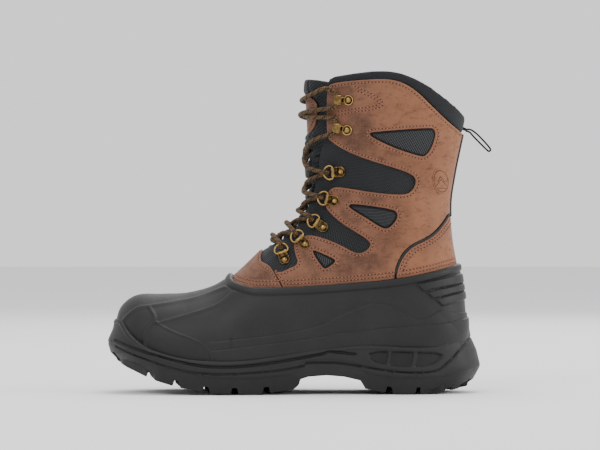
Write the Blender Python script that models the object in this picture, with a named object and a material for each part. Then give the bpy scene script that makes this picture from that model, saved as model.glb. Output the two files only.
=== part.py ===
"""Insulated lace-up pac boot for the left foot: lugged outsole, rubber shell, leather and nylon shaft.

The toe points along -X, the outer (lateral) side of the boot faces -Y, and the tread rests on z = 0.
Every layer of the upper follows one skin, a fan of closed sections from the toe, round the ankle and
up the shaft. A layer is named by its distance from that skin, and a panel is cut from its layer by an
outline drawn in the XZ plane. Sizes below are in millimetres.
"""
import math

import bmesh
import bpy
import numpy as np
from mathutils import Matrix, Vector

MM = 0.001
LATERAL = -1
MEDIAL = 1
SIDES = {"lateral": LATERAL, "medial": MEDIAL}

# Sections of the skin: front or top point, back or bottom point, half widths of the two sides.
STATIONS = [
    {"front": (-147.5, 48), "back": (-147.5, 46), "widths": (0, 0)},
    {"front": (-146, 61), "back": (-146, 36), "widths": (14, 14)},
    {"front": (-142, 70.5), "back": (-141, 30), "widths": (27, 25)},
    {"front": (-131, 77.6), "back": (-130, 25), "widths": (39, 35)},
    {"front": (-110, 78.4), "back": (-110, 20), "widths": (49, 42)},
    {"front": (-85, 80.3), "back": (-85, 17), "widths": (54, 47)},
    {"front": (-58, 90.5), "back": (-58, 16), "widths": (54.5, 49)},
    {"front": (-26, 119.5), "back": (-25, 17), "widths": (51, 47)},
    {"front": (3, 146), "back": (30, 26), "widths": (46, 43)},
    {"front": (9, 160), "back": (80, 23), "widths": (43, 41)},
    {"front": (11, 172), "back": (125, 24), "widths": (42, 41)},
    {"front": (11, 185), "back": (141, 45), "widths": (41.5, 41)},
    {"front": (10.5, 196), "back": (141, 75), "widths": (41, 41)},
    {"front": (10.5, 207), "back": (137, 105), "widths": (42, 42)},
    {"front": (10.5, 218), "back": (132.5, 135), "widths": (43, 43)},
    {"front": (10.2, 228), "back": (131.5, 160), "widths": (44, 44)},
    {"front": (9.6, 240), "back": (134.5, 182), "widths": (45.5, 45.5)},
    {"front": (8.8, 256), "back": (139.5, 207), "widths": (47, 47)},
    {"front": (8.2, 272), "back": (145, 232), "widths": (48.5, 48.5)},
    {"front": (7.6, 292), "back": (150, 258), "widths": (49.5, 49.5)},
]
LAST_STATION = len(STATIONS) - 1
# How the shape of a section changes along the fan, given at station numbers.
WIDEST_SHARE = ((0, 0.7), (6, 0.72), (9, 0.58), (13, 0.5), (19, 0.5))
FRONT_POWER = ((0, 2.1), (5, 2.3), (8, 2.0), (19, 2.0))
BACK_POWER = ((0, 3.5), (3, 5.0), (8, 5.0), (10, 4.5), (11, 3.0), (13, 2.3), (19, 2.15))
CENTRE_SHIFT = ((0, 6), (3, 5), (6, 3), (9, 0), (19, 0))

# Layers, as distances from the skin to the inner and the outer face.
SHELL_LAYER = (2.4, 4.6)
LEATHER_LAYER = (0.4, 2.0)
NYLON_LAYER = (-1.2, 0.0)
INSULATION_INNER = -6.0
INSULATION_SHAFT = -3.3
INSULATION_FOOT = -0.6
LINING_LAYER = (-7.4, -6.6)
GUSSET_LAYER = (-3.8, -3.0)
TONGUE_LAYER = (-10.5, -3.6)
PATCH_LAYER = (-3.2, -2.0)
COLLAR_LAYER = (-9.0, 1.2)
SOLE_CAVITY = 5.2
MIDSOLE_OFFSET = 1.6
FOOTBED_OFFSET = -9.0

FINE_ANGLES = (0, 18, 33, 46, 59, 74, 94, 116, 137, 156)
COARSE_ANGLES = (0, 24, 46, 68, 92, 118, 142, 162)
FOOT_STEPS = (0, 0.5, 1, 1.5, 2, 3, 4, 5, 5.5, 6, 6.5, 7, 7.5, 8, 8.5, 9, 10, 11, 12, 13, 14)
SHAFT_STEPS = (5.5, 6, 6.5, 7, 7.5, 8, 8.5, 9, 10, 11, 12, 13, 14, 15, 16, 17, 18, 19)
BOOTIE_STEPS = (0, 0.5, 1, 2, 3, 4.5, 6, 7, 7.5, 8, 8.5, 9, 10, 11, 12, 13, 14, 15, 17, 19)

RIM = [(-54, 97), (-47.6, 92.7), (-38, 89.8), (-27.3, 88.6), (22.5, 90.6), (86.1, 96.1), (118.6, 102.6),
       (140.6, 108.8), (175, 118)]
TUCK = 10
PIPING_GAP = 1.7
PIPING_LIFT = 1.3
PIPING_RADIUS = 0.5
LEATHER_TOP = [(27.5, 256.8), (32.7, 260.7), (71.8, 263.6), (87.4, 262), (101.7, 254.8), (118.6, 238.6),
               (131.7, 226.9), (144.7, 217.8), (165, 203.5)]
COLLAR_TOP = [(28.2, 265.3), (47.1, 268.1), (73.1, 270.7), (90, 268.9), (109.6, 260.7), (126.5, 249),
              (140.8, 237.9), (165, 214.5)]
COUNTER_EDGE = [(133, 150.6), (129, 143.6), (119.9, 133.2), (109.6, 127.3), (101.7, 124.1), (93.9, 117.6),
                (88.7, 108.5), (86.1, 99.4)]
QUARTER_FRONT = [(-18, 105), (-11.5, 101.3), (-3.7, 105.2), (2.1, 107.6), (3.8, 111.1), (1.5, 116.3),
                 (-0.4, 125.4), (3, 130.5), (12, 133.9), (27.5, 130), (40.5, 124.1), (49.6, 118.9),
                 (56.2, 117.3), (62.7, 120.9), (65.3, 126.7), (53.6, 134.5), (40.5, 142.3), (31.5, 150.1),
                 (26.3, 156.6), (26.8, 164.2), (31.5, 173.8), (47.1, 171.6), (66.6, 168.3), (93.9, 166),
                 (101.1, 170.9), (103.7, 178.8), (99.1, 183.9), (86.1, 188.5), (66.6, 194.3), (53.6, 198.9),
                 (40.5, 204.8), (31.5, 211.2), (27.5, 215.2)]
WINDOWS = [
    [(62.6, 217.8), (66.6, 219), (113.4, 222.7), (118.6, 221.7), (119.9, 216.5), (116, 204.8), (110.8, 198.9),
     (106.9, 198.5), (86.1, 204.8), (66.6, 213.9)],
    [(45.8, 157.9), (49.6, 159.2), (82.2, 154.7), (87.4, 151.5), (86.8, 146.2), (82.2, 140.4), (78.3, 138),
     (73.1, 139.1), (60.1, 147.5), (47.1, 155.3)],
    [(15.2, 120.2), (18.4, 120.2), (34.1, 113.1), (35.6, 110.8), (27.5, 104.8), (25, 105.2), (19.7, 112.4)],
]
NYLON_FRONT = [(27.5, 215), (21.7, 200.8), (20.8, 183.8), (17.4, 171), (13.2, 158.3), (5.5, 143.8),
               (-3, 132.8), (-21.7, 122.6), (-29, 118), (-45, 103)]
VAMP_OUTLINE = [(-64, 140), (-64, 87), (-52, 83.5), (-38, 79.8), (-27.3, 78.6), (-6, 79.3), (-9.9, 90.4),
                (-18.6, 105.4), (-21.6, 108.5), (-29.6, 111.9), (-26.7, 123), (-24, 140)]
OPENING_OUTLINE = [(42, 300), (42, 215), (38, 199.5), (37.5, 183), (34.5, 170), (30, 157), (20.5, 142),
                   (9, 130), (-15, 118), (-24, 109), (-24, 300)]
TONGUE_OUTLINE = [(21.5, 258), (19, 264.6), (-20.8, 264.6), (-20.8, 116.7), (-19.3, 119.7), (-0.6, 131.3),
                  (7.8, 142.8), (15.4, 157.6), (19.6, 170.4), (23, 183.2), (23.6, 199), (22.5, 212)]
PATCH_OUTLINE = [(-20, 218.5), (11.3, 218.5), (15.5, 221), (19.1, 229), (19.1, 250.9), (-20, 250.9)]
GUSSET_OUTLINE = [(37.5, 212), (24.2, 212), (24.2, 199), (23.6, 183.2), (20.2, 170.4), (16, 157.6), (8.4, 142.8),
                  (0.2, 131), (4.2, 130.2), (13.9, 142), (23.4, 157), (27.9, 170), (31.4, 183), (32.4, 199.5)]

# Soles: the line that the midsole's top follows, and the outsole seen from the side and from above.
SOLE_LINE = [(-152, 44), (-141, 34.5), (-130, 29.5), (-110, 25), (-85, 22), (-55, 21.5), (-26, 23.5), (30, 31),
             (80, 34), (152, 35.5)]
BOARD_THICKNESS = 2.0
FOOTBED_THICKNESS = 5.0
PART_GAP = 0.3
SHANK_SPAN = (-30, 88)
SHANK_HALF_WIDTH = 7
SHANK_THICKNESS = 1.2
OUTSOLE_TOP = [(-152.6, 60.5), (-144.2, 52.2), (-128.7, 41.5), (-116.8, 35.5), (-92.9, 29.5), (-66.7, 27.1),
               (-39.3, 27.7), (-9.4, 31.9), (22.5, 36.7), (60.1, 40.3), (95.9, 38.5), (119.7, 39.1),
               (130.5, 41.5), (146.5, 58.5)]
OUTSOLE_HEEL = [(148.9, 57), (150.7, 46.2), (155.5, 35.5), (158.4, 23.5), (158.4, 20), (153.1, 10.5),
                (143.6, 4.5)]
OUTSOLE_TOE = [(-151.4, 28.3), (-156.4, 33.5), (-158.5, 40.3), (-157.7, 44.4), (-153.8, 53.4)]
TREAD_LINE = [(-144, 24), (-120.4, 12.8), (-97.7, 6.3), (-81, 3.3), (-71.5, 0.9), (-52.4, 0), (-27.3, 0),
              (0, 3.9), (4.8, 8), (5.4, 12.8), (12.3, 14.6), (27.9, 15.8), (42.2, 14.6), (56.5, 11), (60.1, 4.5),
              (72, 2.1), (83.9, 0), (119.7, 0), (132.9, 2.4), (143.6, 4.5)]
LUG_GAPS = (-119, -97.7, -72.7, -48.9, -22.5, 80.3, 105.4, 131.7)
LUG_DEPTH = 5.5
LUG_GAP_WIDTHS = (3.6, 2.2)
OUTSOLE_PLAN = [(-158.5, 6), (-156.5, -12), (-149, -28), (-136, -42), (-115, -54), (-88, -60.5), (-58, -61.5),
                (-25, -57), (20, -51.5), (70, -50), (110, -48.5), (138, -38), (152, -22), (158.4, 0),
                (152, 22), (138, 38), (110, 48), (70, 47), (20, 49), (-25, 55.5), (-58, 61), (-88, 60.5),
                (-115, 55.5), (-136, 46), (-149, 35), (-156.5, 22)]
OUTSOLE_LEVELS = ((-1, 0.94), (16, 1.0), (64, 0.97))

# Hardware: the rivet and the ring's middle in the XZ plane, and the layer height the clip sits on.
RINGS = {
    1: {"rivet": (39.9, 186), "ring": (30.3, 185.4), "seat": 0.5},
    2: {"rivet": (34.8, 161.5), "ring": (25.1, 164.3), "seat": 2.0},
    3: {"rivet": (25.1, 139.3), "ring": (16.6, 144.4), "seat": 0.8},
    4: {"rivet": (9.8, 125), "ring": (3.5, 130.7), "seat": 2.0},
    5: {"rivet": (-7.3, 111.9), "ring": (-9.6, 119.9), "seat": 0.5},
}
HOOKS = {
    "lower": {"rivet": (45.1, 220.7), "ring": (35.4, 223.6), "seat": 2.0},
    "upper": {"rivet": (46.2, 245.7), "ring": (36, 246.3), "seat": 2.0},
}
CLIP_HALF_WIDTH = 4.3
CLIP_THICKNESS = 0.7
CLIP_REAR = 4.4
BAR_FORWARD = 6.6
BAR_HEIGHT = 2.05
BORE_RADIUS = 1.1
WIRE_RADIUS = 0.85
RING_HALF_WIDTH = 5.9
RING_DEPTH = 7.7
RING_LIFT_DEG = 15
RIVET_HOLE = 1.6
RIVET_SHANK = 1.2
RIVET_HEAD = 2.6
HOOK_DISC = 4.4
HOOK_HALF_WIDTH = 2.3
HOOK_THICKNESS = 0.9
HOOK_GAP = 4.5
HOOK_CURL = 9.0

LACE_DIAMETER = 3.6
LACE_TURN = 3.1
LACE_LOW = -1.3
LACE_HIGH = 2.6
LACE_OVER_PATCH = 1.8
LACE_LEAVING = {"ring": 7.0, "hook": 5.6}
LACE_ARRIVING = {"ring": 2.3, "hook": 5.6}
BRIDGE_HEIGHT = 128
BRIDGE_LIFT = 2.4
LACE_LONG_STEP = 9

# The lace's two ends: over the front or the edge of the quarter, into the boot, and down beside the tongue.
LACE_TAILS = {
    "lateral": [(31.3, -43.65, 253.9), (29.1, -42.9, 255.2), (25, -39.6, 255.6), (19.6, -33, 253.2),
                (13.2, -24, 250.4), (8.6, -12, 248.4), (6.8, 0, 247.2), (8.3, 12.2, 246.6),
                (12.6, 22.8, 246.2), (17, 28.6, 245.9), (21, 30.2, 245), (24.6, 28.2, 243),
                (27.4, 25, 239), (28.8, 22.8, 232), (29.6, 20.6, 218), (30.2, 18.2, 200),
                (31, 16.2, 180), (32, 14.6, 160), (33.2, 13, 140), (34.6, 11.6, 122)],
    "medial": [(31.3, 43.65, 253.9), (29.1, 42.9, 255.2), (25.4, 40.4, 256.6), (21.6, 36.6, 256.4),
               (21.4, 32, 254.8), (24.3, 28.3, 252.8), (28.7, 25.2, 250.6), (33, 22, 247),
               (36, 19.6, 241), (37.6, 17.8, 230), (38.2, 16.4, 215), (38.8, 15, 195),
               (39.4, 13.8, 175), (40, 12.6, 155), (40.8, 11.4, 137)],
}
AGLET_LENGTH = 20
AGLET_RADIUS = 1.5

# Elastic pull loop at the back of the collar.
PULL_LOOP_DIAMETER = 1.6
PULL_LOOP = [(147.6, -2, 226), (149, -2.2, 221.5), (153.5, -2.4, 217.4), (160.5, -2, 211),
             (166.4, -1.2, 205), (167, 0, 204.4), (166.4, 1.2, 205), (160.5, 2, 211),
             (153.5, 2.4, 217.4), (149, 2.2, 221.5), (147.6, 2, 226)]

COLORS = {
    "leather": (0.30, 0.155, 0.085, 1),
    "rubber": (0.045, 0.044, 0.043, 1),
    "nylon": (0.012, 0.012, 0.014, 1),
    "lining": (0.05, 0.05, 0.055, 1),
    "insulation": (0.55, 0.54, 0.5, 1),
    "foam": (0.2, 0.2, 0.2, 1),
    "board": (0.5, 0.42, 0.3, 1),
    "steel": (0.5, 0.5, 0.5, 1),
    "brass": (0.42, 0.27, 0.09, 1),
    "lace": (0.16, 0.1, 0.06, 1),
}
ROUGHNESS = {"leather": 0.6, "rubber": 0.6, "brass": 0.35, "steel": 0.4}
METALS = ("brass", "steel")


# --- The skin -------------------------------------------------------------------------------------

def blend_at(pairs, place):
    """Value at a place between the listed pairs."""
    return float(np.interp(place, [p[0] for p in pairs], [p[1] for p in pairs]))


def smooth_row(rows, place):
    """Catmull-Rom value of a list of rows at a place counted in rows."""
    last = len(rows) - 1
    i = min(int(place), last - 1)
    u = place - i
    a, b, c, d = (np.array(rows[min(max(k, 0), last)], float) for k in (i - 1, i, i + 1, i + 2))
    return 0.5 * (2 * b + (c - a) * u + (2 * a - 5 * b + 4 * c - d) * u * u + (3 * b - a - 3 * c + d) * u ** 3)


STATION_ROWS = [(*s["front"], *s["back"], *s["widths"]) for s in STATIONS]


def section_at(place):
    """Front and back points, half widths and shape of the section at a place along the fan."""
    row = smooth_row(STATION_ROWS, place)
    return {
        "front": row[0:2],
        "back": row[2:4],
        "widths": {LATERAL: max(row[4], 0.0), MEDIAL: max(row[5], 0.0)},
        "share": blend_at(WIDEST_SHARE, place),
        "powers": (blend_at(FRONT_POWER, place), blend_at(BACK_POWER, place)),
        "centre": blend_at(CENTRE_SHIFT, place),
    }


def skin_base(place, turn):
    """Point of the skin: turn runs 0 to pi down the lateral side and on to 2 pi up the medial side."""
    s = section_at(place)
    side = LATERAL if turn % (2 * math.pi) <= math.pi else MEDIAL
    c, g = math.cos(turn), abs(math.sin(turn))
    power = s["powers"][0] if c > 0 else s["powers"][1]
    size = (abs(c) ** power + g ** power) ** (1 / power)
    reach = s["share"] if c > 0 else 1 - s["share"]
    along = s["share"] - reach * c / size
    x, z = s["front"] + along * (s["back"] - s["front"])
    return Vector((x, s["centre"] + side * s["widths"][side] * g / size, z))


def skin_normal(place, turn):
    """Outward direction of the skin."""
    if place < 0.05:
        return Vector((-1, 0, 0))
    low, high = max(place - 0.05, 0.01), min(place + 0.05, LAST_STATION)
    along = skin_base(high, turn) - skin_base(low, turn)
    across = skin_base(place, turn + 0.02) - skin_base(place, turn - 0.02)
    return across.cross(along).normalized()


def skin_point(place, turn, offset):
    """Point at a distance from the skin."""
    return skin_base(place, turn) + skin_normal(place, turn) * offset


def skin_place(x, z, side):
    """Place and turn on the shaft whose point lies at x, z on one side."""
    def miss(place):
        s = section_at(place)
        depth = s["back"] - s["front"]
        return depth[0] * (z - s["front"][1]) - depth[1] * (x - s["front"][0])
    low, high = 5.0, float(LAST_STATION)
    for _ in range(40):
        middle = (low + high) / 2
        if miss(middle) > 0:
            low = middle
        else:
            high = middle
    s = section_at(low)
    depth = s["back"] - s["front"]
    along = float(np.dot(np.array((x, z)) - s["front"], depth) / np.dot(depth, depth))
    reach = s["share"] if along < s["share"] else 1 - s["share"]
    c = max(-1.0, min(1.0, (s["share"] - along) / reach))
    power = s["powers"][0] if c > 0 else s["powers"][1]
    g = max(0.0, 1 - abs(c) ** power) ** (1 / power)
    turn = math.atan2(g, c)
    return low, turn if side == LATERAL else 2 * math.pi - turn


def place_under(x, z, side, offset):
    """Place and turn of the skin whose point at an offset lies at x, z."""
    place, turn = skin_place(x, z, side)
    for _ in range(4):
        normal = skin_normal(place, turn)
        place, turn = skin_place(x - offset * normal.x, z - offset * normal.z, side)
    return place, turn


# --- Objects and meshes ---------------------------------------------------------------------------

def start_scene():
    for obj in list(bpy.data.objects):
        bpy.data.objects.remove(obj, do_unlink=True)
    found = {}
    for name in ("insulated_boot", "cutters"):
        found[name] = bpy.data.collections.new(name)
        bpy.context.scene.collection.children.link(found[name])
    return found["insulated_boot"], found["cutters"]


def make_material(slot):
    material = bpy.data.materials.new(slot)
    material.use_nodes = True
    shader = material.node_tree.nodes["Principled BSDF"]
    shader.inputs["Base Color"].default_value = COLORS[slot]
    shader.inputs["Roughness"].default_value = ROUGHNESS.get(slot, 0.8)
    shader.inputs["Metallic"].default_value = 1.0 if slot in METALS else 0.0
    return material


def add_part(name, mesh, slot):
    obj = bpy.data.objects.new(name, mesh)
    PARTS.objects.link(obj)
    if not mesh.materials:
        mesh.materials.append(make_material(slot))
    return obj


def add_cutter(name, mesh):
    obj = bpy.data.objects.new(name, mesh)
    CUTTERS.objects.link(obj)
    obj.hide_render = True
    obj.display_type = "WIRE"
    return obj


def boolean(obj, cutter, operation="DIFFERENCE"):
    step = obj.modifiers.new(cutter.name, "BOOLEAN")
    step.operation = operation
    step.object = cutter
    return step


def finish_mesh(name, bm):
    mesh = bpy.data.meshes.new(name)
    bmesh.ops.recalc_face_normals(bm, faces=bm.faces)
    bm.to_mesh(mesh)
    bm.free()
    return mesh


def ring_turns(angles):
    """Turns all the way round a section, from the angles of one side."""
    lateral = [math.radians(a) for a in angles]
    medial = [2 * math.pi - a for a in reversed(lateral[1:])]
    return lateral + [math.pi] + medial


def ring_of(bm, place, turns, offset):
    """One closed ring of vertices; offset is a number, or a function of the skin's point."""
    ring = []
    for turn in turns:
        base = skin_base(place, turn)
        distance = offset(base) if callable(offset) else offset
        ring.append(bm.verts.new((base + skin_normal(place, turn) * distance) * MM))
    return ring


def skin_surface(bm, steps, turns, offset):
    """Rings joined by triangles; a step of 0 closes the toe. Returns the first and last open rings."""
    before = None
    first_ring = None
    for place in steps:
        if place == 0:
            distance = offset(skin_base(0, 0)) if callable(offset) else offset
            before = [bm.verts.new((skin_point(0, math.pi / 2, 0) + Vector((-distance, 0, 0))) * MM)]
            continue
        ring = ring_of(bm, place, turns, offset)
        count = len(ring)
        for i in range(count):
            j = (i + 1) % count
            if before is None:
                break
            if len(before) == 1:
                bm.faces.new((before[0], ring[i], ring[j]))
            else:
                bm.faces.new((before[i], ring[i], ring[j]))
                bm.faces.new((before[i], ring[j], before[j]))
        if first_ring is None and before is None:
            first_ring = ring
        before = ring
    return first_ring, before


def join_rings(bm, outer, inner):
    count = len(outer)
    for i in range(count):
        j = (i + 1) % count
        bm.faces.new((outer[i], inner[i], inner[j], outer[j]))


def layer_mesh(name, steps, angles, inner, outer):
    """Closed layer between two distances from the skin."""
    bm = bmesh.new()
    turns = ring_turns(angles)
    outer_ends = skin_surface(bm, steps, turns, outer)
    inner_ends = skin_surface(bm, steps, turns, inner)
    for outer_ring, inner_ring in zip(outer_ends, inner_ends):
        if outer_ring:
            join_rings(bm, outer_ring, inner_ring)
    return finish_mesh(name, bm)


def volume_mesh(name, steps, angles, offset):
    """Closed solid inside a distance from the skin, from the toe up to the last step."""
    bm = bmesh.new()
    _, last = skin_surface(bm, steps, ring_turns(angles), offset)
    bm.faces.new(last)
    return finish_mesh(name, bm)


def prism_mesh(name, outline, y_low=-100, y_high=100):
    """An outline in the XZ plane carried along Y."""
    bm = bmesh.new()
    face = bm.faces.new([bm.verts.new((x * MM, y_low * MM, z * MM)) for x, z in outline])
    grown = bmesh.ops.extrude_face_region(bm, geom=[face])
    moved = [v for v in grown["geom"] if isinstance(v, bmesh.types.BMVert)]
    bmesh.ops.translate(bm, verts=moved, vec=(0, (y_high - y_low) * MM, 0))
    return finish_mesh(name, bm)


def curve_mesh(name, points, radius, cyclic=False, resolution=2):
    """A round tube or a closed wire through points in millimetres."""
    curve = bpy.data.curves.new(name, "CURVE")
    curve.dimensions = "3D"
    curve.bevel_depth = radius * MM
    curve.bevel_resolution = resolution
    curve.use_fill_caps = not cyclic
    spline = curve.splines.new("POLY")
    spline.points.add(len(points) - 1)
    for point, place in zip(spline.points, points):
        point.co = (*(Vector(place) * MM), 1)
    spline.use_cyclic_u = cyclic
    obj = bpy.data.objects.new(name, curve)
    bpy.context.scene.collection.objects.link(obj)
    depsgraph = bpy.context.evaluated_depsgraph_get()
    mesh = bpy.data.meshes.new_from_object(obj.evaluated_get(depsgraph))
    bpy.data.objects.remove(obj, do_unlink=True)
    bm = bmesh.new()
    bm.from_mesh(mesh)
    bmesh.ops.remove_doubles(bm, verts=bm.verts, dist=0.01 * MM)
    bpy.data.meshes.remove(mesh)
    return finish_mesh(name, bm)


def smooth_path(points, spacing):
    """Points at an even spacing on a smooth curve through the given points."""
    rows = [tuple(p) for p in points]
    fine = [smooth_row(rows, k / 20) for k in range((len(rows) - 1) * 20 + 1)]
    lengths = np.concatenate([[0], np.cumsum(np.linalg.norm(np.diff(fine, axis=0), axis=1))])
    count = max(2, round(lengths[-1] / spacing) + 1)
    places = np.linspace(0, lengths[-1], count)
    return [Vector([np.interp(p, lengths, [f[k] for f in fine]) for k in range(3)]) for p in places]


def shifted(line, dx, dz):
    return [(x + dx, z + dz) for x, z in line]


def band(line, low, high):
    """Outline of a strip that follows a line, between two heights over it."""
    return shifted(line, 0, low) + shifted(line, 0, high)[::-1]


# --- Soles ----------------------------------------------------------------------------------------

def outsole_side_outline():
    """Side view of the outsole: tread with its gaps, heel, top edge and toe bumper."""
    wide, narrow = LUG_GAP_WIDTHS
    tread = list(TREAD_LINE)
    for middle in LUG_GAPS:
        tread = [p for p in tread if abs(p[0] - middle) > wide]
        for dx, rise in ((-wide, 0), (-narrow, LUG_DEPTH), (narrow, LUG_DEPTH), (wide, 0)):
            tread.append((middle + dx, blend_at(TREAD_LINE, middle + dx) + rise))
    tread.sort()
    return tread + OUTSOLE_HEEL[-2::-1] + OUTSOLE_TOP[::-1] + OUTSOLE_TOE[::-1]


def build_outsole():
    bm = bmesh.new()
    before = None
    for height, scale in OUTSOLE_LEVELS:
        ring = [bm.verts.new((x * scale * MM, y * scale * MM, height * MM)) for x, y in OUTSOLE_PLAN]
        if before:
            join_rings(bm, before, ring)
        else:
            bm.faces.new(ring)
        before = ring
    bm.faces.new(before)
    outsole = add_part("outsole", finish_mesh("outsole", bm), "rubber")
    side = add_cutter("outsole_side_view", prism_mesh("outsole_side_view", outsole_side_outline()))
    cavity = add_cutter("outsole_cavity", volume_mesh("outsole_cavity", FOOT_STEPS, FINE_ANGLES, SOLE_CAVITY))
    boolean(outsole, side, "INTERSECT")
    boolean(outsole, cavity)


def build_inner_soles():
    inside = add_cutter("shell_inside", volume_mesh("shell_inside", FOOT_STEPS, FINE_ANGLES, MIDSOLE_OFFSET))
    foot = add_cutter("foot_room", volume_mesh("foot_room", BOOTIE_STEPS, COARSE_ANGLES, FOOTBED_OFFSET))
    board_top = PART_GAP + BOARD_THICKNESS
    footbed_low = board_top + PART_GAP
    midsole = add_part("midsole", prism_mesh("midsole", band(SOLE_LINE, -60, 0)), "foam")
    boolean(midsole, inside, "INTERSECT")
    board = add_part("insole_board", prism_mesh("insole_board", band(SOLE_LINE, PART_GAP, board_top)), "board")
    boolean(board, inside, "INTERSECT")
    footbed_outline = band(SOLE_LINE, footbed_low, footbed_low + FOOTBED_THICKNESS)
    footbed = add_part("footbed", prism_mesh("footbed", footbed_outline), "foam")
    boolean(footbed, foot, "INTERSECT")
    start, end = SHANK_SPAN
    spine = [(x, blend_at(SOLE_LINE, x)) for x in np.linspace(start, end, 6)]
    shank_low = -SHANK_THICKNESS - PART_GAP
    shank = prism_mesh("shank", band(spine, shank_low, -PART_GAP), -SHANK_HALF_WIDTH, SHANK_HALF_WIDTH)
    add_part("shank", shank, "steel")
    slot_width = SHANK_HALF_WIDTH + PART_GAP
    slot_spine = [(x, blend_at(SOLE_LINE, x)) for x in np.linspace(start - PART_GAP, end + PART_GAP, 6)]
    slot = prism_mesh("shank_slot", band(slot_spine, shank_low - PART_GAP, 3), -slot_width, slot_width)
    boolean(midsole, add_cutter("shank_slot", slot))


# --- Upper ----------------------------------------------------------------------------------------

def above(line, top=330):
    return [(line[0][0], top)] + line + [(line[-1][0], top)]


def tucked_rim():
    """Lower edge of the leather and nylon, inside the rubber shell."""
    return [(x, z - TUCK) for x, z in RIM]


def insulation_outer(point):
    """The insulation fills the shell and thins to clear the rivets above its rim."""
    depth = max(blend_at(RIM, point.x) - point.z, RIM[0][0] - point.x)
    share = min(max((depth - 24) / 10, 0), 1)
    return INSULATION_SHAFT + share * (INSULATION_FOOT - INSULATION_SHAFT)


def build_shell():
    inner, outer = SHELL_LAYER
    shell = add_part("rubber_shell", layer_mesh("rubber_shell", FOOT_STEPS, FINE_ANGLES, inner, outer), "rubber")
    boolean(shell, add_cutter("above_rim", prism_mesh("above_rim", above(RIM))))


def build_bootie():
    collar_cut = add_cutter("above_lining", prism_mesh("above_lining", above(shifted(LEATHER_TOP, -4, 0.2))))
    opening = add_cutter("front_opening", prism_mesh("front_opening", OPENING_OUTLINE))
    floor_height = 2 * PART_GAP + BOARD_THICKNESS
    floor = add_cutter("bootie_floor", prism_mesh("bootie_floor", band(SOLE_LINE, -60, floor_height)))
    layers = (("insulation", INSULATION_INNER, insulation_outer), ("lining", *LINING_LAYER))
    for name, inner, outer in layers:
        obj = add_part(name, layer_mesh(name, BOOTIE_STEPS, COARSE_ANGLES, inner, outer), name)
        for cutter in (collar_cut, opening, floor):
            boolean(obj, cutter)


def cut_panel(name, slot, layer, outline, y_low=-100, y_high=100, holes=()):
    """A panel of a layer inside an outline, less the holes."""
    mesh = layer_mesh(name, SHAFT_STEPS, FINE_ANGLES, *layer)
    panel = add_part(name, mesh, slot)
    outline_cutter = add_cutter(name + "_outline", prism_mesh(name + "_outline", outline, y_low, y_high))
    boolean(panel, outline_cutter, "INTERSECT")
    for hole in holes:
        boolean(panel, hole)
    return panel


def window_cutter():
    bm = bmesh.new()
    for outline in WINDOWS:
        bm.from_mesh(prism_mesh("window", outline))
    return add_cutter("quarter_windows", finish_mesh("quarter_windows", bm))


def build_panels():
    windows = window_cutter()
    tuck = tucked_rim()
    counter_side = shifted(COUNTER_EDGE, -PIPING_GAP, PIPING_GAP)
    quarter_back = [(165, 153.6)] + counter_side + [(84.4, 86.2)]
    quarter_outline = LEATHER_TOP + quarter_back + [(22.5, 80.6), (-5, 79.3), (-8.9, 90.6)] + QUARTER_FRONT
    nylon_low = [p for p in tuck if p[0] > -45][::-1] + [(-45, 82)]
    nylon_outline = shifted(LEATHER_TOP, 0, -0.3) + nylon_low + NYLON_FRONT[::-1]
    counter_low = [p for p in tuck if p[0] > 90][::-1]
    counter_outline = [(175, 151.4)] + COUNTER_EDGE + [(86.1, 86.4)] + counter_low[::-1]
    cut_panel("vamp_leather", "leather", LEATHER_LAYER, VAMP_OUTLINE)
    cut_panel("heel_counter", "leather", LEATHER_LAYER, counter_outline)
    for side_name, side in SIDES.items():
        edges = sorted((side * 0.25, side * 100))
        holes = rivet_hole_cutter(side_name, side)
        cut_panel("quarter_" + side_name, "leather", LEATHER_LAYER, quarter_outline, *edges, (windows, holes))
        cut_panel("shaft_nylon_" + side_name, "nylon", NYLON_LAYER, nylon_outline, *edges, (holes,))
        cut_panel("gusset_" + side_name, "nylon", GUSSET_LAYER, GUSSET_OUTLINE, *sorted((side * 4, side * 100)))


def build_front_and_collar():
    cut_panel("tongue", "nylon", TONGUE_LAYER, TONGUE_OUTLINE)
    cut_panel("tongue_patch", "leather", PATCH_LAYER, PATCH_OUTLINE)
    collar_outline = shifted(LEATHER_TOP, 0.7, 0.6) + COLLAR_TOP[::-1]
    cut_panel("collar", "nylon", COLLAR_LAYER, collar_outline)


def build_piping():
    """Thin cord along the front edge of the heel counter, round the back of the heel."""
    line = shifted(COUNTER_EDGE, -PIPING_GAP / 2, PIPING_GAP / 2)[::-1] + [(133.2, 151.5)]
    halves = {}
    for side in (LATERAL, MEDIAL):
        halves[side] = []
        for (x0, z0), (x1, z1) in zip(line, line[1:]):
            for share in (0, 0.5):
                place, turn = place_under(x0 + share * (x1 - x0), z0 + share * (z1 - z0), side, PIPING_LIFT)
                halves[side].append(skin_point(place, turn, PIPING_LIFT))
    back_place, _ = place_under(*line[-1], LATERAL, PIPING_LIFT)
    back = skin_point(back_place, math.pi, PIPING_LIFT)
    path = halves[LATERAL] + [back] + halves[MEDIAL][::-1]
    add_part("counter_piping", curve_mesh("counter_piping", path, PIPING_RADIUS, resolution=1), "nylon")


# --- Hardware -------------------------------------------------------------------------------------

def seat_frame(spec, side):
    """Frame of a fitting: X along it towards the front edge, Y along its bar, Z out of the leather."""
    place, turn = place_under(*spec["rivet"], side, spec["seat"])
    normal = skin_normal(place, turn)
    origin = skin_point(place, turn, spec["seat"])
    ahead = skin_point(*place_under(*spec["ring"], side, spec["seat"]), spec["seat"]) - origin
    forward = (ahead - normal * ahead.dot(normal)).normalized()
    bar = normal.cross(forward)
    matrix = Matrix((forward, bar, normal)).transposed().to_4x4()
    matrix.translation = origin * MM
    return matrix


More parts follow.
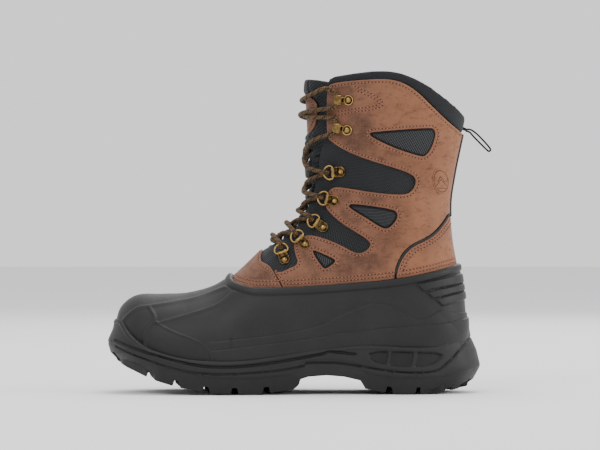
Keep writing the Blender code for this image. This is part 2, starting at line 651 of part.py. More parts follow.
def rivet_hole_cutter(side_name, side):
    bm = bmesh.new()
    for spec in list(RINGS.values()) + list(HOOKS.values()):
        bmesh.ops.create_cone(bm, cap_ends=True, segments=12, radius1=RIVET_HOLE * MM, radius2=RIVET_HOLE * MM,
                              depth=14 * MM, matrix=seat_frame(spec, side))
    return add_cutter("rivet_holes_" + side_name, finish_mesh("rivet_holes_" + side_name, bm))


def turned_mesh(name, profile, segments=8):
    """A solid turned about Z from (radius, height) pairs that begin and end on the axis."""
    bm = bmesh.new()
    line = [bm.verts.new((radius * MM, 0, height * MM)) for radius, height in profile]
    for low, high in zip(line, line[1:]):
        bm.edges.new((low, high))
    bmesh.ops.spin(bm, geom=bm.verts[:] + bm.edges[:], axis=(0, 0, 1), cent=(0, 0, 0), steps=segments,
                   angle=2 * math.pi)
    bmesh.ops.remove_doubles(bm, verts=bm.verts, dist=0.001 * MM)
    return finish_mesh(name, bm)


def rivet_profile(base):
    """Rivet through a fitting whose top face is at base height, with its flange inside the nylon."""
    inside = -base["depth"]
    return [(0, inside - 0.5), (2.6, inside - 0.5), (2.6, inside), (RIVET_SHANK, inside),
            (RIVET_SHANK, base["top"] + 0.3), (RIVET_HEAD, base["top"] + 0.3),
            (RIVET_HEAD * 0.75, base["top"] + 1.0), (0, base["top"] + 1.4)]


def clip_mesh():
    """Strap folded round the ring's bar, with a round rear end and the rivet's hole."""
    low, high = 0.3, 0.3 + CLIP_THICKNESS
    outer = BORE_RADIUS + CLIP_THICKNESS
    arc_out = []
    arc_in = []
    for k in range(8):
        angle = math.radians(-90 + 37 * k)
        arc_out.append((BAR_FORWARD + outer * math.cos(angle), BAR_HEIGHT + outer * math.sin(angle)))
        arc_in.append((BAR_FORWARD + BORE_RADIUS * math.cos(angle), BAR_HEIGHT + BORE_RADIUS * math.sin(angle)))
    outline = [(-CLIP_REAR, low)] + arc_out + arc_in[::-1] + [(2.8, high), (-CLIP_REAR, high)]
    mesh = prism_mesh("clip", outline, -CLIP_HALF_WIDTH, CLIP_HALF_WIDTH)
    bm = bmesh.new()
    bm.from_mesh(mesh)
    bpy.data.meshes.remove(mesh)
    for vert in bm.verts:
        if vert.co.x < -CLIP_REAR * 0.9 * MM:
            vert.co.y *= 0.55
    return finish_mesh("ring_clip", bm)


def ring_points():
    """The D-ring's wire, from its bar at the origin round its bow, in the bar's own frame."""
    bow = []
    for k in range(7):
        angle = math.radians(-78 + 26 * k)
        bow.append((1.2 + (RING_DEPTH - 1.2) * math.cos(angle) ** 0.8, RING_HALF_WIDTH * math.sin(angle), 0))
    return [(0, -RING_HALF_WIDTH + 1.0, 0)] + bow + [(0, RING_HALF_WIDTH - 1.0, 0), (0, 0, 0)]


def hook_mesh():
    """Lace hook: riveted disc, strap, and a curl that opens to the rear, all one pressing with its rivet."""
    low, high = 0.3, 0.3 + HOOK_THICKNESS
    radius = HOOK_GAP / 2
    centre = (HOOK_CURL, high + radius)
    outer = radius + HOOK_THICKNESS
    arc_out = []
    arc_in = []
    for k in range(6):
        angle = math.radians(-90 + 36 * k)
        arc_out.append((centre[0] + outer * math.cos(angle), centre[1] + outer * math.sin(angle)))
        arc_in.append((centre[0] + radius * math.cos(angle), centre[1] + radius * math.sin(angle)))
    cap_end = 1.6
    outline = [(2, low)] + arc_out + [(cap_end, centre[1] + outer), (cap_end, centre[1] + radius)]
    outline += arc_in[::-1] + [(2, high)]
    strap = prism_mesh("hook_strap", outline, -HOOK_HALF_WIDTH, HOOK_HALF_WIDTH)
    disc_profile = [(0, -4.4), (2.6, -4.4), (2.6, -3.9), (RIVET_SHANK, -3.9), (RIVET_SHANK, low),
                    (HOOK_DISC, low), (HOOK_DISC, high), (2.0, high + 0.6), (0, high + 1.0)]
    return turned_mesh("hook_disc", disc_profile, 10), strap


def build_hardware():
    clip = clip_mesh()
    hole = turned_mesh("clip_hole", [(0, -2), (RIVET_HOLE, -2), (RIVET_HOLE, 3), (0, 3)])
    ring = curve_mesh("d_ring", ring_points(), WIRE_RADIUS, cyclic=True, resolution=1)
    lift = Matrix.Rotation(math.radians(-RING_LIFT_DEG), 4, "Y")
    bar = Matrix.Translation(Vector((BAR_FORWARD, 0, BAR_HEIGHT)) * MM)
    for side_name, side in SIDES.items():
        for number, spec in RINGS.items():
            tag = f"{side_name}_{number}"
            frame = seat_frame(spec, side)
            strap = add_part("ring_clip_" + tag, clip, "brass")
            strap.matrix_world = frame
            cutter = add_cutter("clip_hole_" + tag, hole)
            cutter.matrix_world = frame
            boolean(strap, cutter)
            wire = add_part("d_ring_" + tag, ring, "brass")
            wire.matrix_world = frame @ bar @ lift
            base = {"depth": spec["seat"] + 1.9, "top": 0.3 + CLIP_THICKNESS}
            rivet = add_part("rivet_" + tag, turned_mesh("rivet_" + tag, rivet_profile(base)), "brass")
            rivet.matrix_world = frame
    disc, strap_mesh = hook_mesh()
    for side_name, side in SIDES.items():
        for level, spec in HOOKS.items():
            tag = f"{side_name}_{level}"
            hook = add_part("lace_hook_" + tag, disc, "brass")
            hook.matrix_world = seat_frame(spec, side)
            strap = add_cutter("hook_strap_" + tag, strap_mesh)
            strap.matrix_world = seat_frame(spec, side)
            boolean(hook, strap, "UNION")


# --- Lace and pull loop ---------------------------------------------------------------------------

def from_frame(frame, x, y, z):
    return frame @ (Vector((x, y, z)) * MM) / MM


def ring_frame(number, side):
    """Frame of a D-ring at rest: origin on its bar, X towards its bow."""
    bar = Matrix.Translation(Vector((BAR_FORWARD, 0, BAR_HEIGHT)) * MM)
    lift = Matrix.Rotation(math.radians(-RING_LIFT_DEG), 4, "Y")
    return seat_frame(RINGS[number], side) @ bar @ lift


def ring_pass(number, side):
    """Lace at a D-ring: up from under the bow, round the wire, and out over it."""
    frame = ring_frame(number, side)
    up = side
    points = []
    for angle, drift in ((-80, -1.0), (-130, -0.6), (180, 0), (130, 0.6), (80, 1.0)):
        x = RING_DEPTH + LACE_TURN * math.cos(math.radians(angle))
        points.append(from_frame(frame, x, drift * up, LACE_TURN * math.sin(math.radians(angle))))
    return points


def hook_pass(level, side):
    """Lace in a hook: up through the curl, behind its front wall."""
    frame = seat_frame(HOOKS[level], side)
    up = side
    middle = 0.3 + HOOK_THICKNESS + HOOK_GAP / 2
    places = ((5.0, -7.2), (1.2, -5.2), (0, -3.1), (0, 3.1), (1.2, 5.2), (5.0, 7.2))
    return [from_frame(frame, HOOK_CURL + dx, dy * up, middle) for dx, dy in places]


def turn_from_front(point):
    """How far round from the front of the shaft a point lies, as an angle."""
    side = LATERAL if point.y < 0 else MEDIAL
    _, turn = skin_place(point.x, point.z, side)
    return turn if side == LATERAL else 2 * math.pi - turn


def strand(start, end, high, leaving, arriving):
    """Lace over the tongue between two fittings; a high strand passes over the low one it crosses."""
    crossing = LACE_HIGH if high else LACE_LOW
    if leaving == "hook":
        crossing += LACE_OVER_PATCH
    points = []
    for share in (0.15, 0.33, 0.5, 0.67, 0.85):
        near, edge = (start, LACE_LEAVING[leaving]) if share <= 0.5 else (end, LACE_ARRIVING[arriving])
        spread = abs(2 * share - 1)
        angle = turn_from_front(near) * spread
        place = front_place(start.z + share * (end.z - start.z), angle)
        turn = angle if near.y < 0 else 2 * math.pi - angle
        points.append(skin_point(place, turn, crossing + (edge - crossing) * min(1, spread / 0.6)))
    return points


def front_place(height, turn):
    """Place along the fan where the front of the skin, at a turn, has the given height."""
    places = np.arange(6, LAST_STATION, 0.1)
    heights = [skin_base(place, turn).z for place in places]
    return float(np.interp(height, heights, places))


def lace_route():
    """The lace from the lateral upper hook down to the lowest rings and up to the medial upper hook."""
    levels = [("ring", k) for k in (5, 4, 3, 2, 1)] + [("hook", "lower"), ("hook", "upper")]
    halves = {}
    for first_side in (LATERAL, MEDIAL):
        side = first_side
        route = []
        last_kind = None
        for kind, key in levels:
            visit = ring_pass(key, side) if kind == "ring" else hook_pass(key, side)
            if route:
                route += strand(route[-1], visit[0], first_side == LATERAL, last_kind, kind)
            route += visit
            last_kind = kind
            side = -side
        halves[first_side] = route
    bridge = [skin_point(front_place(BRIDGE_HEIGHT - drop, angle), turn, BRIDGE_LIFT)
              for drop, angle, turn in bridge_turns()]
    return halves[LATERAL][::-1] + bridge + halves[MEDIAL]


def bridge_turns():
    """Drop, angle and turn of the points between the two lowest rings, from lateral to medial."""
    turns = []
    for degrees in (-26, -13, 0, 13, 26):
        angle = math.radians(abs(degrees))
        turn = angle if degrees <= 0 else 2 * math.pi - angle
        turns.append((abs(degrees) * 0.12, angle, turn))
    return turns


def lace_points(route):
    """The route with one more point on its smooth curve wherever two points are far apart."""
    rows = [tuple(p) for p in route]
    points = [route[0]]
    for k in range(1, len(rows)):
        if (route[k] - route[k - 1]).length > LACE_LONG_STEP:
            points.append(Vector(smooth_row(rows, k - 0.5)))
        points.append(route[k])
    return points


def build_lace():
    points = lace_points(lace_route())
    add_part("lace", curve_mesh("lace", points, LACE_DIAMETER / 2, resolution=1), "lace")


def build_lace_tails():
    """Each loose end of the lace, with its aglet hanging below it."""
    for name, route in LACE_TAILS.items():
        path = smooth_path(route, LACE_DIAMETER * 2.4)
        tail = curve_mesh("lace_tail_" + name, path, LACE_DIAMETER / 2, resolution=1)
        add_part("lace_tail_" + name, tail, "lace")
        along = (path[-1] - path[-2]).normalized()
        r, end = AGLET_RADIUS, AGLET_LENGTH
        aglet = turned_mesh("aglet_" + name, [(0, 0), (r, 0), (r, end - 0.6), (r - 0.5, end), (0, end)])
        obj = add_part("aglet_" + name, aglet, "brass")
        turned = along.to_track_quat("Z", "Y").to_matrix().to_4x4()
        obj.matrix_world = Matrix.Translation((path[-1] + along * PART_GAP) * MM) @ turned


def build_pull_loop():
    path = smooth_path(PULL_LOOP, 4)
    add_part("pull_loop", curve_mesh("pull_loop", path, PULL_LOOP_DIAMETER / 2), "nylon")


PARTS, CUTTERS = start_scene()


def main():
    build_outsole()
    build_inner_soles()
    build_shell()
    build_bootie()
    build_panels()
    build_front_and_collar()
    build_piping()
    build_hardware()
    build_lace()
    build_lace_tails()
    build_pull_loop()


main()
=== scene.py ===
"""Looks of the insulated lace-up pac boot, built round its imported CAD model.

The frame is the CAD's: toe along -X, lateral side towards -Y, tread on z = 0. Tables are in
millimetres and meshes in metres. Leather, nylon, rubber shell and lining follow one skin, a fan of
closed sections given by place (toe to cuff) and turn (from the front, down the lateral side).
"""

import math

import bpy
import numpy as np
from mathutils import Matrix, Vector


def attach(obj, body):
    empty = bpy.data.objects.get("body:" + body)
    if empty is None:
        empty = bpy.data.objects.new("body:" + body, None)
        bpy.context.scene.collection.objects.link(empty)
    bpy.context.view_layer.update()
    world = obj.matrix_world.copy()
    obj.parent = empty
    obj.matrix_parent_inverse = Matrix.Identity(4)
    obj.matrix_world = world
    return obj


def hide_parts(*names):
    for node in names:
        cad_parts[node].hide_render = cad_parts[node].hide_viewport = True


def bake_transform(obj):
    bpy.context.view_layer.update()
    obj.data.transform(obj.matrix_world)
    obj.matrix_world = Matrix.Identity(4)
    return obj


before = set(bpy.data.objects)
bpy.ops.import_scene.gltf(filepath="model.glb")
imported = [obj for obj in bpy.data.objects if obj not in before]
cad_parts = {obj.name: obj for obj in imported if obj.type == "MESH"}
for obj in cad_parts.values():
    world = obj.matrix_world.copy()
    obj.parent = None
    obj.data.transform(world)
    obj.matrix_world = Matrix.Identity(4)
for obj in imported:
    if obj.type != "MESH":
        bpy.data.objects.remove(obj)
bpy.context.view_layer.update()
MM = 0.001
LATERAL = -1
MEDIAL = 1
SIDES = {"lateral": LATERAL, "medial": MEDIAL}
PI = math.pi

# --- Camera and light -----------------------------------------------------------------------------

LENS = 200
SENSOR = 36
VIEW_WIDTH = 0.510
VIEW_CENTRE = (0.0055, 0.0, 0.1413)


def make_camera():
    data = bpy.data.cameras.new("camera")
    data.lens = LENS
    data.sensor_width = SENSOR
    camera = bpy.data.objects.new("camera", data)
    distance = VIEW_WIDTH * LENS / SENSOR
    camera.location = (VIEW_CENTRE[0], -distance, VIEW_CENTRE[2])
    camera.rotation_euler = (PI / 2, 0, 0)
    data.clip_start = 0.1
    data.clip_end = 50
    bpy.context.scene.collection.objects.link(camera)
    bpy.context.scene.camera = camera


def area_light(name, place, target, size, power):
    data = bpy.data.lights.new(name, "AREA")
    data.energy = power
    data.size = size
    lamp = bpy.data.objects.new(name, data)
    lamp.location = place
    aim = Vector(target) - Vector(place)
    lamp.rotation_euler = aim.to_track_quat("-Z", "Y").to_euler()
    bpy.context.scene.collection.objects.link(lamp)


make_camera()

# --- The skin: the same sections as the CAD --------------------------------------------------------

STATIONS = np.array([
    # front x, z; back x, z; half widths lateral, medial
    (-147.5, 48, -147.5, 46, 0, 0),
    (-146, 61, -146, 36, 14, 14),
    (-142, 70.5, -141, 30, 27, 25),
    (-131, 77.6, -130, 25, 39, 35),
    (-110, 78.4, -110, 20, 49, 42),
    (-85, 80.3, -85, 17, 54, 47),
    (-58, 90.5, -58, 16, 54.5, 49),
    (-26, 119.5, -25, 17, 51, 47),
    (3, 146, 30, 26, 46, 43),
    (9, 160, 80, 23, 43, 41),
    (11, 172, 125, 24, 42, 41),
    (11, 185, 141, 45, 41.5, 41),
    (10.5, 196, 141, 75, 41, 41),
    (10.5, 207, 137, 105, 42, 42),
    (10.5, 218, 132.5, 135, 43, 43),
    (10.2, 228, 131.5, 160, 44, 44),
    (9.6, 240, 134.5, 182, 45.5, 45.5),
    (8.8, 256, 139.5, 207, 47, 47),
    (8.2, 272, 145, 232, 48.5, 48.5),
    (7.6, 292, 150, 258, 49.5, 49.5),
], float)
LAST = len(STATIONS) - 1
WIDEST_SHARE = ((0, 0.7), (6, 0.72), (9, 0.58), (13, 0.5), (19, 0.5))
FRONT_POWER = ((0, 2.1), (5, 2.3), (8, 2.0), (19, 2.0))
BACK_POWER = ((0, 3.5), (3, 5.0), (8, 5.0), (10, 4.5), (11, 3.0), (13, 2.3), (19, 2.15))
CENTRE_SHIFT = ((0, 6), (3, 5), (6, 3), (9, 0), (19, 0))


def table_at(pairs, at):
    return np.interp(at, [p[0] for p in pairs], [p[1] for p in pairs])


def rows_at(rows, place):
    """Catmull-Rom rows of a table at an array of places counted in rows."""
    last = len(rows) - 1
    i = np.clip(place.astype(int), 0, last - 1)
    u = (place - i)[:, None]
    a, b, c, d = (rows[np.clip(i + k, 0, last)] for k in (-1, 0, 1, 2))
    square, cube = 2 * a - 5 * b + 4 * c - d, 3 * b - a - 3 * c + d
    return 0.5 * (2 * b + (c - a) * u + square * u * u + cube * u ** 3)


def arrays(*values):
    return np.broadcast_arrays(*(np.atleast_1d(np.asarray(v, float)) for v in values))


def skin_base(place, turn):
    """Points of the skin, in millimetres; a negative turn is on the medial side."""
    place, turn = arrays(place, turn)
    row = rows_at(STATIONS, place)
    lateral = np.mod(turn, 2 * PI) <= PI
    c, g = np.cos(turn), np.abs(np.sin(turn))
    power = np.where(c > 0, table_at(FRONT_POWER, place), table_at(BACK_POWER, place))
    size = (np.abs(c) ** power + g ** power) ** (1 / power)
    share = table_at(WIDEST_SHARE, place)
    along = share - np.where(c > 0, share, 1 - share) * c / size
    xz = row[:, :2] + along[:, None] * (row[:, 2:4] - row[:, :2])
    width = np.where(lateral, -row[:, 4].clip(0), row[:, 5].clip(0))
    return np.stack([xz[:, 0], table_at(CENTRE_SHIFT, place) + width * g / size, xz[:, 1]], 1)


def unit(v):
    return v / np.maximum(np.linalg.norm(v, axis=-1, keepdims=True), 1e-12)


def skin_normal(place, turn):
    place, turn = arrays(place, turn)
    low, high = np.maximum(place - 0.05, 0.01), np.minimum(place + 0.05, LAST)
    along = skin_base(high, turn) - skin_base(low, turn)
    across = skin_base(place, turn + 0.02) - skin_base(place, turn - 0.02)
    normal = unit(np.cross(across, along))
    normal[place < 0.05] = (-1, 0, 0)
    return normal


def skin_point(place, turn, offset):
    return skin_base(place, turn) + skin_normal(place, turn) * np.reshape(offset, (-1, 1))


def skin_place(x, z, side):
    """Place and turn on the shaft whose points lie at x, z on one side."""
    x, z = arrays(x, z)
    low, high = np.full(x.shape, 5.0), np.full(x.shape, float(LAST))
    for _ in range(34):
        middle = (low + high) / 2
        row = rows_at(STATIONS, middle)
        dx, dz = row[:, 2] - row[:, 0], row[:, 3] - row[:, 1]
        over = dx * (z - row[:, 1]) - dz * (x - row[:, 0]) > 0
        low, high = np.where(over, middle, low), np.where(over, high, middle)
    row = rows_at(STATIONS, low)
    depth = row[:, 2:4] - row[:, :2]
    along = ((x - row[:, 0]) * depth[:, 0] + (z - row[:, 1]) * depth[:, 1]) / (depth ** 2).sum(1)
    share = table_at(WIDEST_SHARE, low)
    c = np.clip((share - along) / np.where(along < share, share, 1 - share), -1, 1)
    power = np.where(c > 0, table_at(FRONT_POWER, low), table_at(BACK_POWER, low))
    turn = np.arctan2((1 - np.abs(c) ** power).clip(0) ** (1 / power), c)
    return low, turn if side == LATERAL else 2 * PI - turn


def place_under(x, z, side, offset):
    """Place and turn of the skin whose points at an offset lie at x, z."""
    place, turn = skin_place(x, z, side)
    for _ in range(4):
        normal = skin_normal(place, turn)
        place, turn = skin_place(x - offset * normal[:, 0], z - offset * normal[:, 2], side)
    return place, turn


# --- Lines in the XZ plane ------------------------------------------------------------------------

def run_lengths(line):
    """Length along a line up to each of its points."""
    return np.concatenate([[0], np.cumsum(np.linalg.norm(np.diff(line, axis=0), axis=1))])


def smooth_line(points, spacing, closed=False, rounds=2):
    """A polyline with its corners cut off, resampled at an even spacing."""
    line = np.array(points, float)
    for _ in range(rounds):
        ends = np.roll(line, -1, 0) if closed else line[1:]
        starts = line if closed else line[:-1]
        cut = np.stack([0.75 * starts + 0.25 * ends, 0.25 * starts + 0.75 * ends], 1)
        cut = cut.reshape(-1, line.shape[1])
        line = cut if closed else np.concatenate([line[:1], cut, line[-1:]])
    return resample(line, spacing, closed)


def resample(line, spacing, closed=False):
    line = np.asarray(line, float)
    if closed:
        line = np.concatenate([line, line[:1]])
    lengths = run_lengths(line)
    count = max(2, int(round(lengths[-1] / spacing)) + 1)
    at = np.linspace(0, lengths[-1], count)
    made = np.stack([np.interp(at, lengths, line[:, k]) for k in range(line.shape[1])], 1)
    return made[:-1] if closed else made


def catmull(points, spacing):
    """Even points on a smooth curve through the given points."""
    rows = np.array(points, float)
    fine = rows_at(rows, np.linspace(0, len(rows) - 1, (len(rows) - 1) * 24 + 1))
    return resample(fine, spacing)


def beside(line, distance, closed=False):
    """The line moved to its left by a distance."""
    line = np.asarray(line, float)
    if closed:
        ahead = np.roll(line, -1, 0) - np.roll(line, 1, 0)
    else:
        ahead = np.gradient(line, axis=0)
    ahead = unit(ahead)
    return line + distance * np.stack([-ahead[:, 1], ahead[:, 0]], 1)


def to_segments(points, line, closed):
    """Distance from each point to a polyline, the nearest point's direction, and even-odd insideness."""
    starts = line if closed else line[:-1]
    ends = np.roll(line, -1, 0) if closed else line[1:]
    step = ends - starts
    size2 = np.maximum((step ** 2).sum(1), 1e-12)
    distance = np.empty(len(points))
    toward = np.empty((len(points), 2))
    inside = np.zeros(len(points), bool)
    for k in range(0, len(points), 8000):
        p = points[k:k + 8000]
        from_start = p[:, None, :] - starts[None]
        share = np.clip((from_start * step[None]).sum(2) / size2, 0, 1)
        gap = from_start - share[..., None] * step[None]
        d2 = (gap ** 2).sum(2)
        best = d2.argmin(1)
        rows = np.arange(len(p))
        distance[k:k + 8000] = np.sqrt(d2[rows, best])
        toward[k:k + 8000] = gap[rows, best]
        if closed:
            y, y0, y1 = p[:, None, 1], starts[None, :, 1], ends[None, :, 1]
            crosses = (y0 > y) != (y1 > y)
            rise = np.where(np.abs(y1 - y0) < 1e-9, 1e-9, y1 - y0)
            at_x = starts[None, :, 0] + (y - y0) / rise * step[None, :, 0]
            inside[k:k + 8000] = ((crosses & (p[:, None, 0] < at_x)).sum(1) % 2) == 1
    return distance, unit(toward), inside


def outline_depth(points, normals, outline):
    """Distance inside a closed XZ outline, measured along the surface."""
    distance, toward, inside = to_segments(points[:, [0, 2]], np.asarray(outline, float), True)
    lean = toward[:, 0] * normals[:, 0] + toward[:, 1] * normals[:, 2]
    distance = distance / np.sqrt((1 - lean ** 2).clip(0.1))
    return np.where(inside, distance, -distance)


def inside_depth(xz, outline):
    """Distance inside a closed XZ outline, negative outside it."""
    distance, _, inside = to_segments(xz, np.asarray(outline, float), True)
    return np.where(inside, distance, -distance)


def line_distance(xz, line):
    return to_segments(xz, np.asarray(line, float), False)[0]


def height_over(line, xz):
    """How far points are above a line that runs along X."""
    return xz[:, 1] - table_at(line, xz[:, 0])


def ramp(value, low, high):
    """0 before low, 1 after high, smooth between."""
    t = np.clip((value - low) / (high - low), 0, 1)
    return t * t * (3 - 2 * t)


def hump(value, middle, width):
    """1 at the middle, falling off smoothly to both sides."""
    return np.exp(-((value - middle) / width) ** 2)


def ripple(points, wavelength, seed):
    """Soft uneven waves over the surface, between about -1 and 1."""
    draw = np.random.default_rng(seed)
    total = np.zeros(len(points))
    for _ in range(7):
        direction = draw.normal(size=3)
        direction /= np.linalg.norm(direction)
        scale = 2 * PI / (wavelength * draw.uniform(0.6, 1.5))
        total += np.sin(points @ direction * scale + draw.uniform(0, 2 * PI))
    return total / 4


# --- Patches of the skin ---------------------------------------------------------------------------

class Patch:
    """A grid over part of the skin. Rows of data hold place, turn and any named fields."""

    def __init__(self, places, turns, pitch, closed=False):
        middle_turns = (turns[0], (turns[0] + turns[1]) / 2, turns[1])
        rows = even_places(places, middle_turns, pitch)
        columns = even_turns(rows[len(rows) // 2], turns, pitch)
        if closed:
            columns = columns[:-1]
        place, turn = np.meshgrid(rows, columns, indexing="ij")
        self.fields = {"place": place.ravel(), "turn": turn.ravel()}
        n_rows, n_columns = place.shape
        i = np.arange(n_rows - 1)[:, None]
        j = np.arange(n_columns if closed else n_columns - 1)[None]
        a = (i * n_columns + j).ravel()
        b = (i * n_columns + (j + 1) % n_columns).ravel()
        self.quads = np.stack([a, a + n_columns, b + n_columns, b], 1)
        self.tris = np.zeros((0, 3), int)

    def at(self, offset=0.0):
        return skin_point(self.fields["place"], self.fields["turn"], offset)

    def normals(self):
        return skin_normal(self.fields["place"], self.fields["turn"])

    def cut(self, name, level=0.0, keep="above"):
        """Splits the faces along a level of a field, and drops those below it."""
        value = self.fields[name]
        over = value > level
        count = over[self.quads].sum(1)
        mixed = self.quads[(count > 0) & (count < 4)]
        whole = self.quads[count == 4]
        under = self.quads[count == 0]
        tris = np.concatenate([self.tris, mixed[:, [0, 1, 2]], mixed[:, [0, 2, 3]]])
        count = over[tris].sum(1)
        split = tris[(count > 0) & (count < 3)]
        lone = np.where(over[split].sum(1) == 1, over[split].argmax(1), (~over[split]).argmax(1))
        rows = np.arange(len(split))
        a, b, c = (split[rows, (lone + k) % 3] for k in range(3))
        pairs = np.sort(np.concatenate([np.stack([a, b], 1), np.stack([a, c], 1)]), 1)
        edges, back = np.unique(pairs, axis=0, return_inverse=True)
        back = back.ravel()
        start = len(value)
        if len(edges):
            v0, v1 = value[edges[:, 0]], value[edges[:, 1]]
            share = ((level - v0) / (v1 - v0)).clip(0.02, 0.98)
            for key, field in self.fields.items():
                extra = field[edges[:, 0]] * (1 - share) + field[edges[:, 1]] * share
                if key == name:
                    extra = np.full(len(extra), float(level))
                self.fields[key] = np.concatenate([field, extra])
        ab, ac = start + back[:len(split)], start + back[len(split):]
        tips = np.stack([a, ab, ac], 1)
        rest = np.concatenate([np.stack([ab, b, c], 1), np.stack([ab, c, ac], 1)])
        tip_over = over[a] if len(split) else np.zeros(0, bool)
        rest_over = np.concatenate([~tip_over, ~tip_over])
        upper = [tris[count == 3], tips[tip_over], rest[rest_over]]
        lower = [tris[count == 0], tips[~tip_over], rest[~rest_over]]
        if keep == "above":
            self.quads, self.tris = whole, np.concatenate(upper)
        else:
            self.quads = np.concatenate([whole, under])
            self.tris = np.concatenate(upper + lower)
        return self

    def compact(self):
        used = np.unique(np.concatenate([self.quads.ravel(), self.tris.ravel()]))
        renumber = np.full(len(self.fields["place"]), -1)
        renumber[used] = np.arange(len(used))
        self.quads, self.tris = renumber[self.quads], renumber[self.tris]
        self.fields = {key: value[used] for key, value in self.fields.items()}
        return self

    def faces(self):
        return [tuple(f) for f in self.quads.tolist()] + [tuple(f) for f in self.tris.tolist()]

    def rim(self):
        """Directed edges that belong to one face only."""
        loops = [self.quads[:, [k, (k + 1) % 4]] for k in range(4)]
        loops += [self.tris[:, [k, (k + 1) % 3]] for k in range(3)]
        edges = np.concatenate(loops)
        keys = np.sort(edges, 1)
        _, first, counts = np.unique(keys, axis=0, return_index=True, return_counts=True)
        return edges[first[counts == 1]]


def evenly(values, steps, pitch):
    """Values about a pitch apart, from the lengths of the steps between finer ones."""
    lengths = np.concatenate([[0], np.cumsum(steps)])
    count = max(3, int(lengths[-1] / pitch))
    return np.interp(np.linspace(0, lengths[-1], count), lengths, values)


def even_places(span, turns, pitch):
    fine = np.linspace(span[0], span[1], 400)
    steps = [np.linalg.norm(np.diff(skin_base(fine, t), axis=0), axis=1) for t in turns]
    return evenly(fine, np.mean(steps, axis=0), pitch)


def even_turns(place, span, pitch):
    fine = np.linspace(span[0], span[1], 800)
    steps = np.linalg.norm(np.diff(skin_base(np.full(fine.shape, place), fine), axis=0), axis=1)
    return evenly(fine, steps, pitch)


def link(obj):
    bpy.context.scene.collection.objects.link(obj)
    return obj


def add_field(mesh, key, value):
    """Stores one number or one vector for each point of a mesh."""
    value = np.asarray(value, np.float32)
    kind, part = ("FLOAT_VECTOR", "vector") if value.ndim == 2 else ("FLOAT", "value")
    mesh.attributes.new(key, kind, "POINT").data.foreach_set(part, value.ravel())


def new_object(name, vertices, faces, smooth_angle=50, fields=None):
    """A mesh object from points in millimetres, with point fields as attributes."""
    mesh = bpy.data.meshes.new(name)
    mesh.from_pydata((np.asarray(vertices, float) * MM).tolist(), [], faces)
    mesh.validate()
    for key, value in (fields or {}).items():
        add_field(mesh, key, value)
    mesh.polygons.foreach_set("use_smooth", [True] * len(mesh.polygons))
    if smooth_angle:
        mesh.set_sharp_from_angle(angle=math.radians(smooth_angle))
    return link(bpy.data.objects.new(name, mesh))


def grid_faces(rows, columns, closed=False, caps=True):
    """Faces of a grid that is closed across its columns, with end caps or closed along its rows too."""
    i = np.arange(rows if closed else rows - 1)[:, None]
    j = np.arange(columns)[None]
    a, b = i * columns + j, i * columns + (j + 1) % columns
    c, d = ((i + 1) % rows) * columns + (j + 1) % columns, ((i + 1) % rows) * columns + j
    faces = np.stack([a, b, c, d], 2).reshape(-1, 4).tolist()
    if caps and not closed:
        faces.append(list(range(columns))[::-1])
        faces.append([(rows - 1) * columns + k for k in range(columns)])
    return faces


# Millimetres of skin to one radian of turn, and to one place, about the shaft.
FLOW_ROUND = 48
FLOW_UP = 17.5


def flow_of(patch):
    """Millimetres round the section and up the skin, for weaves."""
    place, turn = patch.fields["place"], patch.fields["turn"]
    reach = np.where(np.abs(turn) > PI, 2 * PI - turn, np.abs(turn))
    return np.stack([reach * FLOW_ROUND, place * FLOW_UP, np.zeros(len(place))], 1)


def layer_object(name, patch, top, bottom, fields=None, closed=True):
    """A patch as a body between two offsets, joined by walls along its rim."""
    base, normal = patch.at(), patch.normals()
    top = np.broadcast_to(top, len(base))
    bottom = np.broadcast_to(bottom, len(base))
    count = len(base)
    faces = patch.faces()
    rim = patch.rim()
    points = [base + normal * top[:, None], base + normal * bottom[:, None]]
    if closed:
        faces += [tuple(k + count for k in face[::-1]) for face in faces]
    faces += [(b, a, a + count, b + count) for a, b in rim.tolist()]
    extra = {key: np.concatenate([value, value]) for key, value in (fields or {}).items()}
    extra["flow"] = np.concatenate([flow_of(patch)] * 2)
    points = np.concatenate(points)
    if not closed:
        used = np.zeros(2 * count, bool)
        used[:count] = True
        used[rim.ravel() + count] = True
        renumber = np.cumsum(used) - 1
        faces = [tuple(int(renumber[k]) for k in face) for face in faces]
        points = points[used]
        extra = {key: value[used] for key, value in extra.items()}
    return new_object(name, points, faces, fields=extra)


# --- Finishes -------------------------------------------------------------------------------------

